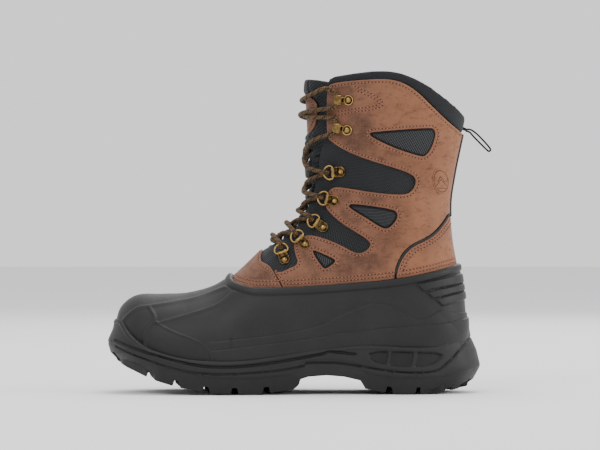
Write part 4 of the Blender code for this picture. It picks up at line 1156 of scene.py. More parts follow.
VAMP_OUTLINE = [(-64, 140), (-64, 87), (-52, 83.5), (-38, 79.8), (-27.3, 78.6), (-6, 79.3), (-9.9, 90.4),
                (-18.6, 105.4), (-21.6, 108.5), (-29.6, 111.9), (-26.7, 123), (-24, 140)]
VAMP_EDGE = [(-8.5, 93), (-17, 103.3), (-20.9, 106.7), (-28.2, 110.2), (-27, 118), (-25.9, 124)]
GUSSET_OUTLINE = [(37.5, 212), (24.2, 212), (24.2, 199), (23.6, 183.2), (20.2, 170.4), (16, 157.6),
                  (8.4, 142.8), (0.2, 131), (4.2, 130.2), (13.9, 142), (23.4, 157), (27.9, 170),
                  (31.4, 183), (32.4, 199.5)]
PATCH_OUTLINE = [(-20, 218.5), (11.3, 218.5), (15.5, 221), (19.1, 229), (19.1, 250.9), (-20, 250.9)]
PATCH_SEAM = [(-19, 221), (10.3, 221), (13.6, 223.4), (16.8, 230), (16.8, 248.6), (-19, 248.6)]
# A decorative double row behind the hooks.
HOOK_ROW = [(49, 258.3), (58, 254.2), (71.8, 247.7), (75.1, 242.5), (73.1, 239.3), (61.4, 236.6),
            (56.2, 236.6), (35.3, 233.1)]
TUCK = 10
PIPING_GAP = 1.7
PIPING_LIFT = 1.3
BACK_STRIP = 8.5
LEATHER_PITCH = 1.15
EDGE_LEVELS = (0.0, 0.2, 0.5, 0.9, 1.4)
SIDE_TURNS = {LATERAL: (0.02, PI - 0.001), MEDIAL: (PI + 0.001, 2 * PI - 0.02)}


def shifted(line, dx, dz):
    return [(x + dx, z + dz) for x, z in line]


TUCKED_RIM = shifted(RIM, 0, -TUCK)
COUNTER_SIDE = shifted(COUNTER_EDGE, -PIPING_GAP, PIPING_GAP)
QUARTER_OUTLINE = (LEATHER_TOP + [(165, 153.6)] + COUNTER_SIDE
                   + [(84.4, 86.2), (22.5, 80.6), (-5, 79.3), (-8.9, 90.6)] + QUARTER_FRONT)
COUNTER_OUTLINE = ([(175, 151.4)] + COUNTER_EDGE + [(86.1, 86.4)] + [p for p in TUCKED_RIM if p[0] > 90])
NYLON_OUTLINE = (shifted(LEATHER_TOP, 0, -0.3) + [p for p in TUCKED_RIM if p[0] > -45][::-1] + [(-45, 82)]
                 + NYLON_FRONT[::-1])


def stitch_lines():
    """Every stitched row as an XZ line, by the thread that sews it."""
    fine = 1.0
    rim = smooth_line(RIM, fine)
    rows = {name: [] for name in ("vamp", "counter", "quarter")}
    for lift in (2.3, 5.3):
        row = beside(rim, lift)
        rows["vamp"].append(row[(row[:, 0] < -10.5)])
        rows["quarter"].append(row[(row[:, 0] > -8) & (row[:, 0] < 83.5)])
        rows["counter"].append(row[(row[:, 0] > 88) & (row[:, 0] < 137)])
    counter = smooth_line(COUNTER_EDGE, fine)
    for gap in (2.0, 4.6):
        rows["counter"].append(beside(counter, gap)[3:-6])
    top = smooth_line(LEATHER_TOP[:-1], fine)
    rows["quarter"].append(beside(top, -2.4)[2:])
    front = smooth_line(QUARTER_FRONT, fine, rounds=3)
    rows["quarter"].append(beside(front, -2.3)[4:])
    rows["quarter"].append(beside(smooth_line([(-8.9, 91.5), (-12, 96), (-16.8, 103)], fine), -1.9))
    for window in WINDOWS:
        loop = smooth_line(window, fine, closed=True)
        row = beside(loop, 2.2, True)
        if (inside_depth(row, loop) > 0).mean() > 0.5:
            row = beside(loop, -2.2, True)
        rows["quarter"].append(np.concatenate([row, row[:1]]))
    hook = smooth_line(HOOK_ROW, fine)
    rows["quarter"] += [hook, beside(hook, -2.6)[4:-3]]
    vamp = smooth_line(VAMP_EDGE, fine)
    rows["vamp"].append(beside(vamp, 2.4)[3:])
    return rows


STITCH_ROWS = stitch_lines()


def edge_profile(depth):
    """How a cut leather edge rounds over, as a share of its height."""
    return np.sqrt((1 - (1 - np.clip(depth / 1.2, 0, 1)) ** 2).clip(0))


def cut_to(patch, depth, levels=EDGE_LEVELS):
    patch.fields["depth"] = depth
    for level in levels:
        patch.cut("depth", level, "above" if level == 0 else "both")
    return patch.compact()


def leather_panel(name, node, turns, outline, body="root", rows=(), holes=(), places=(6, LAST),
                  offsets=(0.4, LEATHER_TOP_OFFSET), back_gap=0.0, seed=1):
    """A leather panel with rounded edges, stitch channels and a hand-worked surface."""
    patch = Patch(places, turns, LEATHER_PITCH)
    low, high = offsets
    points, normals = patch.at(high), patch.normals()
    depth = outline_depth(points, normals, smooth_line(outline, 1.2, closed=True))
    for hole in holes:
        depth = np.minimum(depth, -outline_depth(points, normals, smooth_line(hole, 1.0, closed=True)))
    if back_gap:
        depth = np.where(points[:, 0] > 90, np.minimum(depth, np.abs(points[:, 1]) - back_gap), depth)
    cut_to(patch, depth)
    points = patch.at(high)
    seam = np.full(len(points), 9.0)
    for row in rows:
        seam = np.minimum(seam, line_distance(points[:, [0, 2]], resample(row, 1.0)))
    depth = patch.fields["depth"]
    top = low + (high - low) * (0.35 + 0.65 * edge_profile(depth))
    top += 0.14 * ripple(points, 26, seed) * ramp(depth, 0, 4)
    top -= 0.38 * hump(seam, 0, 0.55) - 0.12 * hump(seam, 1.5, 0.8)
    panel = layer_object(name, patch, top, low, {"depth": depth, "seam": seam})
    return settle(panel, "leather", body, [node])


def build_leather():
    for side_name, side in SIDES.items():
        rows = STITCH_ROWS["quarter"]
        leather_panel("quarter_leather_" + side_name, "quarter_" + side_name, SIDE_TURNS[side],
                      QUARTER_OUTLINE, rows=rows, holes=WINDOWS, back_gap=BACK_STRIP, seed=10 + side)
        for row in rows:
            sew("quarter_stitching_" + side_name, row, (side,))
        thread_object("quarter_stitching_" + side_name, "root")
    leather_panel("vamp_leather_panel", "vamp_leather", (-1.5, 1.5), VAMP_OUTLINE, rows=STITCH_ROWS["vamp"],
                  places=(5.2, 9), seed=4)
    leather_panel("heel_counter_leather", "heel_counter", (PI - 1.9, PI + 1.9), COUNTER_OUTLINE,
                  rows=STITCH_ROWS["counter"], places=(9, 16), seed=6)
    for part in ("vamp", "counter"):
        for row in STITCH_ROWS[part]:
            sew(part + "_stitching", row)
        thread_object(part + "_stitching", "root")


def build_nylon():
    outline = smooth_line(NYLON_OUTLINE, 1.5, closed=True)
    for side_name, side in SIDES.items():
        patch = Patch((5.5, LAST), SIDE_TURNS[side], pitch=1.7)
        cut_to(patch, outline_depth(patch.at(), patch.normals(), outline), (0.0, 0.4, 1.0))
        depth = patch.fields["depth"]
        points = patch.at()
        quilt = 0.3 * ripple(points, 17, 20 + side) * ramp(depth, 0, 4)
        top = -0.3 + 0.4 * edge_profile(depth) + quilt
        panel = layer_object("shaft_nylon_shell_" + side_name, patch, top, -1.2, {"depth": depth})
        settle(panel, "nylon", "root", ["shaft_nylon_" + side_name])
        for number, window in enumerate(WINDOWS, 1):
            patch = Patch((7, LAST), SIDE_TURNS[side], pitch=0.9)
            loop = smooth_line(window, 0.8, closed=True)
            depth = outline_depth(patch.at(0.6), patch.normals(), loop) + 0.7
            cut_to(patch, depth, (0.0, 0.5, 1.2))
            depth = patch.fields["depth"]
            top = 0.55 + 0.6 * (1 - np.exp(-depth / 3.0))
            mesh = layer_object(f"window_mesh_{side_name}_{number}", patch, top, 0.15, {"depth": depth})
            settle(mesh, "mesh_fabric", "root")


def build_back_strip():
    """Woven tape down the back of the shaft, under the pull loop."""
    patch = Patch((10, LAST), (PI - 0.6, PI + 0.6), pitch=0.9)
    points = patch.at(1.2)
    depth = np.minimum(BACK_STRIP - 0.4 - np.abs(points[:, 1]), points[:, 2] - 148)
    top = height_over(smooth_line(LEATHER_TOP, 1.5), points[:, [0, 2]])
    cut_to(patch, np.minimum(depth, -top - 0.3), (0.0, 0.4, 1.0))
    depth = patch.fields["depth"]
    tape = layer_object("back_tape", patch, 0.5 + 2.4 * edge_profile(depth), 0.2, {"depth": depth})
    settle(tape, "nylon", "root")


build_leather()
build_nylon()
build_back_strip()

# --- Tubes, turned and folded metal ---------------------------------------------------------------

def carried_frames(points, closed=False):
    """Direction, side and up at each point of a path, turning as little as they can."""
    if closed:
        ahead = unit(np.roll(points, -1, 0) - np.roll(points, 1, 0))
    else:
        ahead = unit(np.gradient(points, axis=0))
    side = np.zeros_like(points)
    side[0] = unit(np.cross(ahead[0], (0.31, 0.12, 0.94)))
    for k in range(1, len(points)):
        turned = side[k - 1] - ahead[k] * side[k - 1].dot(ahead[k])
        side[k] = turned / np.linalg.norm(turned)
    return side, np.cross(ahead, side)


def tube_rings(points, radius, sides, relief=None, closed=False):
    """Rings of points round a path, and their flow: millimetres along and turns round."""
    side, up = carried_frames(points, closed)
    lengths = run_lengths(points)
    turns = np.arange(sides) / sides
    along, around = np.meshgrid(lengths, turns, indexing="ij")
    reach = np.broadcast_to(np.reshape(radius, (-1, 1)), along.shape)
    if relief:
        reach = reach + relief(along, around)
    rings = (points[:, None] + reach[..., None] * (np.cos(2 * PI * around)[..., None] * side[:, None]
                                                   + np.sin(2 * PI * around)[..., None] * up[:, None]))
    return rings, np.stack([along, around, np.zeros_like(along)], 2)


def tube_object(name, points, radius, sides=12, relief=None, closed=False, fields=None):
    rings, flow = tube_rings(np.asarray(points, float), radius, sides, relief, closed)
    every = dict(fields or {})
    every["flow"] = flow.reshape(-1, 3)
    return new_object(name, rings.reshape(-1, 3), grid_faces(*rings.shape[:2], closed), 60, every)


def turned_points(profile, sides):
    """Rings about Z through (radius, height) pairs."""
    angles = np.arange(sides) * 2 * PI / sides
    radius, height = np.array(profile, float).T
    return np.stack([radius[:, None] * np.cos(angles), radius[:, None] * np.sin(angles),
                     np.broadcast_to(height[:, None], (len(radius), sides))], 2)


def folded_strip(line, half_widths, thickness):
    """A metal strip along an XZ line with rounded edges: its rings, and how near its edge each point is, for
    brass that is brighter on its edges from rubbing and from painted highlight.
    """
    line = np.asarray(line, float)
    ahead = unit(np.gradient(line, axis=0))
    normal = np.stack([-ahead[:, 1], ahead[:, 0]], 1)
    r = thickness / 2
    edge = np.radians([-90, -50, 0, 50, 90])
    across = np.concatenate([np.cos(edge), -np.cos(edge)[::-1]])
    lift = np.concatenate([np.sin(edge), np.sin(edge)[::-1]]) * r
    sign = np.concatenate([np.ones(5), -np.ones(5)])
    y = sign * (half_widths[:, None] - r) + across * r
    rings = np.stack([line[:, 0, None] + normal[:, 0, None] * lift, y,
                      line[:, 1, None] + normal[:, 1, None] * lift], 2)
    wear_and_highlight = np.broadcast_to(np.where(np.abs(lift) < r * 0.9, 1.0, 0.25), rings.shape[:2])
    return rings, wear_and_highlight


def metal_object(name, parts, frame_at):
    """Pieces of (rings, wear and painted highlight) joined into one object, in a fitting's frame."""
    points, faces, wear_and_highlight = [], [], []
    count = 0
    for rings, shine in parts:
        faces += [[k + count for k in face] for face in grid_faces(*rings.shape[:2])]
        points.append(rings.reshape(-1, 3))
        wear_and_highlight.append(np.broadcast_to(shine, rings.shape[:2]).ravel())
        count += rings.shape[0] * rings.shape[1]
    points = in_frame(frame_at, np.concatenate(points))
    return new_object(name, points, faces, 40, {"wear_and_highlight": np.concatenate(wear_and_highlight)})


# --- Hardware -------------------------------------------------------------------------------------

RINGS = {
    1: {"rivet": (39.9, 186), "ring": (30.3, 185.4), "seat": 0.5},
    2: {"rivet": (34.8, 161.5), "ring": (25.1, 164.3), "seat": 2.0},
    3: {"rivet": (25.1, 139.3), "ring": (16.6, 144.4), "seat": 0.8},
    4: {"rivet": (9.8, 125), "ring": (3.5, 130.7), "seat": 2.0},
    5: {"rivet": (-7.3, 111.9), "ring": (-9.6, 119.9), "seat": 0.5},
}
HOOKS = {
    "lower": {"rivet": (45.1, 220.7), "ring": (35.4, 223.6), "seat": 2.0},
    "upper": {"rivet": (46.2, 245.7), "ring": (36, 246.3), "seat": 2.0},
}
METAL_SEAT = 0.3
CLIP_HALF_WIDTH = 4.3
CLIP_THICKNESS = 0.7
CLIP_REAR = 4.3
RIVET_RISE = 0.5
BAR_FORWARD = 6.6
BAR_HEIGHT = 2.05
BORE_RADIUS = 1.1
WIRE_RADIUS = 0.85
RING_HALF_WIDTH = 5.9
RING_DEPTH = 7.7
RING_LIFT = math.radians(15)
HOOK_THICKNESS = 0.9
HOOK_GAP = 4.5
HOOK_CURL = 9.0


def in_frame(frame_at, points):
    turn, origin = frame_at
    return origin + np.asarray(points, float) @ turn.T


def seat_frame(spec, side):
    """Frame of a fitting: X along it towards the front edge, Y along its bar, Z out of the leather."""
    place, turn = place_under(*spec["rivet"], side, spec["seat"])
    normal = skin_normal(place, turn)[0]
    origin = skin_point(place, turn, spec["seat"])[0]
    ahead = skin_point(*place_under(*spec["ring"], side, spec["seat"]), spec["seat"])[0] - origin
    forward = unit(ahead - normal * ahead.dot(normal))
    return np.column_stack([forward, np.cross(normal, forward), normal]), origin


def ring_frame(number, side):
    """Frame of a D-ring at rest: origin on its bar, X towards its bow."""
    turn, origin = seat_frame(RINGS[number], side)
    c, s = math.cos(RING_LIFT), math.sin(RING_LIFT)
    lift = np.array([(c, 0, -s), (0, 1, 0), (s, 0, c)])
    return turn @ lift, in_frame((turn, origin), (BAR_FORWARD, 0, BAR_HEIGHT))


def arc(centre, radius, start, end, count):
    angles = np.radians(np.linspace(start, end, count))
    return np.stack([centre[0] + radius * np.cos(angles), centre[1] + radius * np.sin(angles)], 1)


def clip_parts():
    """Plate with a round rear, folded over the ring's bar and back onto itself."""
    middle = METAL_SEAT + CLIP_THICKNESS / 2
    round_rear = np.linspace(0.12, PI / 2, 9)
    rear = np.stack([-CLIP_REAR * np.cos(round_rear), np.full(9, middle)], 1)
    radius = BORE_RADIUS + CLIP_THICKNESS / 2
    fold = arc((BAR_FORWARD, BAR_HEIGHT), radius, -90, 150, 15)
    back = np.array([(4.6, 2.1), (3.6, 1.55), (2.9, 1.38)])
    line = np.concatenate([rear, [(2.4, middle), (4.6, middle)], fold, back])
    widths = np.interp(line[:, 0], (-4.3, 0, 1.5, BAR_FORWARD, 9), (1.0, 4.3, 4.3, 3.7, 3.6))
    widths[:9] = CLIP_HALF_WIDTH * np.sin(round_rear).clip(0.15)
    rings, wear_and_highlight = folded_strip(line, widths, CLIP_THICKNESS)
    height = rings[..., 2]
    # Painted highlight: the fold over the bar is brighter where it stands highest.
    return rings, np.maximum(wear_and_highlight, ramp(height, 2.4, 3.6) * 0.6)


def rivet_parts(top):
    """Domed rivet head with a rolled rim."""
    dome = arc((0, top - 0.35), 1.9, 8, 88, 9)
    dome[:, 1] = top + (dome[:, 1] - top) * 0.7 + 0.15
    profile = [(0.05, top - 0.6), (1.7, top - 0.6), (2.0, top - 0.45), (2.1, top - 0.1), (1.95, top + 0.1),
               (1.85, top + 0.14)] + dome[1:].tolist()
    rings = turned_points(profile, 24)
    # Painted highlight: the rolled rim and the crown of the dome are brightest, the foot of the dome darkest.
    shine = np.concatenate([np.full(3, 0.8), np.full(2, 1.0), np.linspace(0.35, 1.0, len(profile) - 5)])
    return rings, shine[:, None]


def ring_line():
    """The D-ring's wire: a straight bar at X 0 and a round bow in front of it."""
    angles = np.radians(np.arange(-80, 81, 8))
    bow = np.stack([1.2 + (RING_DEPTH - 1.2) * np.cos(angles) ** 0.8, RING_HALF_WIDTH * np.sin(angles)], 1)
    bar = [(0, RING_HALF_WIDTH - 1.0), (0, 0), (0, 1.0 - RING_HALF_WIDTH)]
    line = smooth_line(np.concatenate([bow, bar]), 0.55, True)
    return np.column_stack([line, np.zeros(len(line))])


def hook_parts():
    """Riveted disc with a raised rim, and a strap that curls over to the rear and widens to a cap."""
    low, high = METAL_SEAT, METAL_SEAT + HOOK_THICKNESS
    strap = low + HOOK_THICKNESS / 2
    disc = turned_points([(0.05, low), (4.2, low), (4.4, low + 0.2), (4.42, high - 0.1), (4.2, high + 0.25),
                          (3.7, high + 0.3), (3.25, high - 0.05), (2.7, high - 0.12), (2.6, high + 0.35),
                          (2.2, high + 0.85), (1.4, high + 1.2), (0.05, high + 1.3)], 28)
    # Painted highlight on the disc's raised rim and dome top, painted shade in the sunken ring between them.
    shine = np.array([0, 0.3, 0.7, 0.9, 1, 1, 0.2, 0.05, 0.3, 0.5, 0.7, 0.8])[:, None]
    centre = (HOOK_CURL, high + HOOK_GAP / 2)
    radius = HOOK_GAP / 2 + HOOK_THICKNESS / 2
    curl = arc(centre, radius, -90, 90, 15)
    lift = centre[1] + radius
    line = np.concatenate([[(2.0, strap), (4.5, strap), (7, strap)], curl,
                           [(7.8, lift), (6.9, lift), (6.0, lift), (5.2, lift - 0.05), (4.5, lift - 0.25)]])
    count = len(line)
    widths = np.interp(np.arange(count), (0, 3, 9, 14, 18, count - 2, count - 1),
                       (2.4, 1.9, 2.0, 3.1, 3.8, 4.0, 3.3))
    rings, wear_and_highlight = folded_strip(line, widths, HOOK_THICKNESS)
    # Painted highlight: the strap is brighter the higher it curls off the leather.
    return [(disc, shine), (rings, np.maximum(wear_and_highlight, ramp(rings[..., 2], 3, 6) * 0.45))]


def build_hardware():
    for side_name, side in SIDES.items():
        for number, spec in RINGS.items():
            tag = f"{side_name}_{number}"
            seat = seat_frame(spec, side)
            clip = metal_object("clip_folded_" + tag, [clip_parts()], seat)
            settle(clip, "brass", "root", ["ring_clip_" + tag])
            head = rivet_parts(METAL_SEAT + CLIP_THICKNESS + RIVET_RISE)
            rivet = metal_object("rivet_domed_" + tag, [head], seat)
            settle(rivet, "brass", "root", ["rivet_" + tag])
            line = in_frame(ring_frame(number, side), ring_line())
            shine = np.full(len(line) * 12, 0.75)
            wire = tube_object("ring_wire_" + tag, line, WIRE_RADIUS, 12, closed=True, fields={"wear_and_highlight": shine})
            settle(wire, "brass", "d_ring_" + tag, ["d_ring_" + tag])
        for level, spec in HOOKS.items():
            hook = metal_object(f"hook_pressed_{side_name}_{level}", hook_parts(), seat_frame(spec, side))
            settle(hook, "brass", "root", [f"lace_hook_{side_name}_{level}"])


# --- Lace -----------------------------------------------------------------------------------------

LACE_DIAMETER = 3.6
LACE_TURN = 3.1
LACE_LOW = -2.6
LACE_HIGH = 1.0
LACE_OVER_PATCH = 3.3
LACE_LEAVING = {"ring": 7.0, "hook": 5.6}
LACE_ARRIVING = {"ring": 2.3, "hook": 5.6}
BRIDGE_HEIGHT = 128
BRIDGE_LIFT = 2.4
BIGHT_REACH = 8.0
LACE_SIDES = 20
LACE_STEP = 0.5
LACE_TAILS = {
    "lateral": [(31.3, -43.65, 253.9), (29.1, -42.9, 255.2), (25, -39.6, 255.6), (19.6, -33, 253.2),
                (13.2, -24, 250.4), (8.6, -12, 248.4), (6.8, 0, 247.2), (8.3, 12.2, 246.6),
                (12.6, 22.8, 246.2), (17, 28.6, 245.9), (21, 30.2, 245), (24.6, 28.2, 243),
                (27.4, 25, 239), (28.8, 22.8, 232), (29.6, 20.6, 218), (30.2, 18.2, 200),
                (31, 16.2, 180), (32, 14.6, 160), (33.2, 13, 140), (34.6, 11.6, 122)],
    "medial": [(31.3, 43.65, 253.9), (29.1, 42.9, 255.2), (25.4, 40.4, 256.6), (21.6, 36.6, 256.4),
               (21.4, 32, 254.8), (24.3, 28.3, 252.8), (28.7, 25.2, 250.6), (33, 22, 247),
               (36, 19.6, 241), (37.6, 17.8, 230), (38.2, 16.4, 215), (38.8, 15, 195),
               (39.4, 13.8, 175), (40, 12.6, 155), (40.8, 11.4, 137)],
}
AGLET_LENGTH = 20
AGLET_RADIUS = 1.5
PULL_LOOP_DIAMETER = 1.6
PULL_LOOP_STEP = 0.5
ANCHOR_THICKNESS = 1.1
PULL_LOOP = [(146.6, -1.6, 222.6), (150.6, -1.6, 222.2), (155.4, -1.5, 218.9), (161.7, -1.3, 212.6),
             (166.9, -0.8, 206.5), (167.1, 0, 204.6), (165.3, 0.8, 204.4), (159.6, 1.3, 209.9),
             (153.4, 1.5, 216.2), (149.8, 1.6, 220.2), (146.6, 1.6, 221.2)]


def ring_pass(number, side):
    """Lace at a D-ring: up from under the bow, round the wire, and out over it."""
    points = []
    for angle, drift in ((-80, -1.0), (-130, -0.6), (180, 0), (130, 0.6), (80, 1.0)):
        turn = math.radians(angle)
        points.append((RING_DEPTH + LACE_TURN * math.cos(turn), drift * side, LACE_TURN * math.sin(turn)))
    return list(in_frame(ring_frame(number, side), points))


def hook_pass(level, side):
    """Lace in a hook: up through the curl, behind its front wall."""
    middle = METAL_SEAT + HOOK_THICKNESS + HOOK_GAP / 2
    places = ((5.0, -7.2), (1.2, -5.2), (0, -3.1), (0, 3.1), (1.2, 5.2), (5.0, 7.2))
    local = [(HOOK_CURL + dx, dy * side, middle) for dx, dy in places]
    return list(in_frame(seat_frame(HOOKS[level], side), local))


def turn_from_front(point):
    """How far round from the front of the shaft a point lies, as an angle."""
    side = LATERAL if point[1] < 0 else MEDIAL
    turn = skin_place(point[0], point[2], side)[1][0]
    return turn if side == LATERAL else 2 * PI - turn


def front_place(height, turn):
    """Place along the fan where the front of the skin, at a turn, has the given height."""
    places = np.arange(6, LAST, 0.1)
    return float(np.interp(height, skin_base(places, np.full(places.shape, turn))[:, 2], places))


def strand(start, end, high, leaving, arriving):
    """Lace over the tongue between two fittings; a high strand passes over the low one it crosses."""
    crossing = LACE_HIGH if high else LACE_LOW
    if leaving == "hook":
        crossing += LACE_OVER_PATCH
    points = []
    for share in (0.15, 0.33, 0.5, 0.67, 0.85):
        near, edge = (start, LACE_LEAVING[leaving]) if share <= 0.5 else (end, LACE_ARRIVING[arriving])
        spread = abs(2 * share - 1)
        angle = turn_from_front(near) * spread
        place = front_place(start[2] + share * (end[2] - start[2]), angle)
        turn = angle if near[1] < 0 else 2 * PI - angle
        points.append(skin_point(place, turn, crossing + (edge - crossing) * min(1, spread / 0.6) ** 1.5)[0])
    return points


def lace_route():
    """The lace from the lateral upper hook down to the lowest rings and up to the medial upper hook."""
    levels = [("ring", k) for k in (5, 4, 3, 2, 1)] + [("hook", "lower"), ("hook", "upper")]
    halves = {}
    for first_side in (LATERAL, MEDIAL):
        side = first_side
        route = []
        last_kind = None
        for kind, key in levels:
            visit = ring_pass(key, side) if kind == "ring" else hook_pass(key, side)
            if route:
                route += strand(route[-1], visit[0], first_side == LATERAL, last_kind, kind)
            route += visit
            last_kind = kind
            side = -side
        halves[first_side] = route
    bridge = []
    for degrees in (-26, -13, 0, 13, 26):
        angle = math.radians(abs(degrees))
        turn = angle if degrees <= 0 else 2 * PI - angle
        place = front_place(BRIDGE_HEIGHT - abs(degrees) * 0.12, angle)
        bridge.append(skin_point(place, turn, BRIDGE_LIFT)[0])
    return np.array(halves[LATERAL][::-1] + bridge + halves[MEDIAL])


def braid(along, around):
    """Height of the braid's carriers over a round cord."""
    wave = 2 * PI * along / LACE_PITCH
    spin = 2 * PI * LACE_CARRIERS * around
    return 0.10 * np.sin(wave + spin) * np.sin(wave - spin)


def lace_piece(name, rings, flow, first, last):
    """The stretch of the lace between two of its rings, ends included."""
    part = rings[first:last + 1]
    extra = {"flow": flow[first:last + 1].reshape(-1, 3)}
    return new_object(name, part.reshape(-1, 3), grid_faces(*part.shape[:2]), 70, extra)


def build_lace():
    """The lace in stretches: fixed to the root where it crosses, and in separate stretches, tied to no body,
    where it is looped round each ring.
    """
    points = catmull(lace_route(), LACE_STEP)
    rings, flow = tube_rings(points, LACE_DIAMETER / 2, LACE_SIDES, braid)
    bights = []
    for side_name, side in SIDES.items():
        for number in RINGS:
            at = ring_frame(number, side)
            local = (points - at[1]) @ at[0]
            centre = np.linalg.norm(local - (RING_DEPTH, 0, 0), axis=1).argmin()
            beyond = local[:, 0] > RING_DEPTH + BIGHT_REACH
            first = centre - beyond[centre::-1].argmax()
            last = centre + beyond[centre:].argmax()
            bights.append((first, last, f"{side_name}_{number}", at))
    bights.sort(key=lambda bight: bight[0])
    stops = [0] + [k for bight in bights for k in bight[:2]] + [len(points) - 1]
    for k, (first, last) in enumerate(zip(stops[::2], stops[1::2]), 1):
        run = lace_piece(f"lace_run_{k}", rings, flow, first, last)
        settle(run, "lace", "root", ["lace"] if k == 1 else ())
    for first, last, tag, at in bights:
        piece = settle(lace_piece("lace_bight_" + tag, rings, flow, first, last), "lace", None)
        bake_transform(piece)


def build_lace_tails():
    for name, route in LACE_TAILS.items():
        path = catmull(route, LACE_STEP)
        tail = tube_object("lace_end_" + name, path, LACE_DIAMETER / 2, LACE_SIDES, braid)
        settle(tail, "lace", None, ["lace_tail_" + name])
        along = unit(path[-1] - path[-2])
        side = unit(np.cross(along, (1, 0, 0)))
        at = np.column_stack([side, np.cross(along, side), along]), path[-1] + along * 0.3
        r, end = AGLET_RADIUS, AGLET_LENGTH
        crimps = [(r - (0.18 if k % 4 == 2 else 0.0), 0.4 + (end - 1.4) * k / 16) for k in range(17)]
        rounded = [(r - 0.15, end - 0.3), (r - 0.5, end), (0.05, end)]
        rings = turned_points([(0.05, 0), (r, 0)] + crimps + rounded, 16)
        tip = metal_object("lace_aglet_" + name, [(rings, 0.5)], at)
        settle(tip, "aglet_plastic", None, ["aglet_" + name])
        for piece in (tail, tip):
            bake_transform(piece)


def build_pull_loop():
    path = catmull(PULL_LOOP, PULL_LOOP_STEP)
    loop = tube_object("pull_loop_cord", path, PULL_LOOP_DIAMETER / 2, 12,
                       lambda along, around: 0.05 * np.sin(2 * PI * along / 1.6) * np.cos(4 * PI * around))
    settle(loop, "cord", "pull_loop", ["pull_loop"])


def build_pull_anchor():
    """Folded tape sewn behind the collar, which the pull loop's ends come out of."""
    line = [(142.7, 224.7), (145.0, 223.6), (146.9, 222.7), (147.5, 221.8), (146.6, 221.5), (144.5, 222.5),
            (142.1, 223.7)]
    line = smooth_line(line, 0.5)
    half_widths = np.interp(np.arange(len(line)), (0, 4, len(line) - 1), (3.4, 3.9, 3.9))
    rings, _ = folded_strip(line, half_widths, ANCHOR_THICKNESS)
    tape = new_object("pull_loop_anchor", rings.reshape(-1, 3), grid_faces(*rings.shape[:2]), 50)
    settle(tape, "cord", "root")


build_hardware()
build_lace()
build_lace_tails()
build_pull_loop()
build_pull_anchor()

# --- Padded and hidden parts ----------------------------------------------------------------------

COLLAR_TOP = [(28.2, 265.3), (47.1, 268.1), (73.1, 270.7), (90, 268.9), (109.6, 260.7), (126.5, 249),
              (140.8, 237.9), (165, 214.5)]
TONGUE_OUTLINE = [(21.5, 258), (19, 264.6), (-20.8, 264.6), (-20.8, 116.7), (-19.3, 119.7), (-0.6, 131.3),
                  (7.8, 142.8), (15.4, 157.6), (19.6, 170.4), (23, 183.2), (23.6, 199), (22.5, 212)]
# The tongue's lateral edge reaches further back, under the quarter.
TONGUE_WING = [(31.5, 257), (31, 265), (-20.8, 264.6), (-20.8, 116.7), (-19.3, 119.7), (-0.6, 131.3),
               (7.8, 142.8), (15.4, 157.6), (19.6, 170.4), (23, 183.2), (24.5, 199), (29.5, 216)]
TONGUE_LAYER = (-10.5, -3.6)
COLLAR_LAYER = (-9.0, 1.2)
OPENING_OUTLINE = [(42, 300), (42, 215), (38, 199.5), (37.5, 183), (34.5, 170), (30, 157), (20.5, 142),
                   (9, 130), (-15, 118), (-24, 109), (-24, 300)]
SOLE_LINE = [(-152, 44), (-141, 34.5), (-130, 29.5), (-110, 25), (-85, 22), (-55, 21.5), (-26, 23.5),
             (30, 31), (80, 34), (152, 35.5)]
TONGUE_CHANNELS = (146, 163, 180, 197, 213)
TONGUE_SIDE_CHANNEL = 15.5
PATCH_TOP = -1.0
PATCH_THICKNESS = 1.2
SEAM_DEPTH = 1.0
PAD_PRESSURE = 4
PAD_BULGE = 5.0
PAD_DENT = 0.8
PAD_FRAMES = 20


def mesh_from(obj):
    """The mesh of an object with its modifiers applied."""
    depsgraph = bpy.context.evaluated_depsgraph_get()
    return bpy.data.meshes.new_from_object(obj.evaluated_get(depsgraph))


def apply_all(obj):
    made = mesh_from(obj)
    obj.modifiers.clear()
    old, obj.data = obj.data, made
    bpy.data.meshes.remove(old)


def vertex_rows(mesh, name):
    """A vector of each vertex: its place, "co", or its "normal"."""
    values = np.empty(len(mesh.vertices) * 3)
    mesh.vertices.foreach_get(name, values)
    return values.reshape(-1, 3)


def blow_up(obj, start, cap):
    """Swells a closed mesh from its start by cloth pressure, no point moving further than the cap."""
    cloth = obj.modifiers.new("cloth", "CLOTH")
    cloth.settings.use_pressure = True
    cloth.settings.uniform_pressure_force = PAD_PRESSURE
    cloth.settings.effector_weights.gravity = 0
    for number in range(1, PAD_FRAMES + 1):
        bpy.context.scene.frame_set(number)
    apply_all(obj)
    bpy.context.scene.frame_set(1)
    moved = vertex_rows(obj.data, "co") - start
    far = np.linalg.norm(moved, axis=1, keepdims=True)
    moved *= np.minimum(1, cap * MM / np.maximum(far, 1e-9))
    obj.data.vertices.foreach_set("co", (start + moved).ravel())


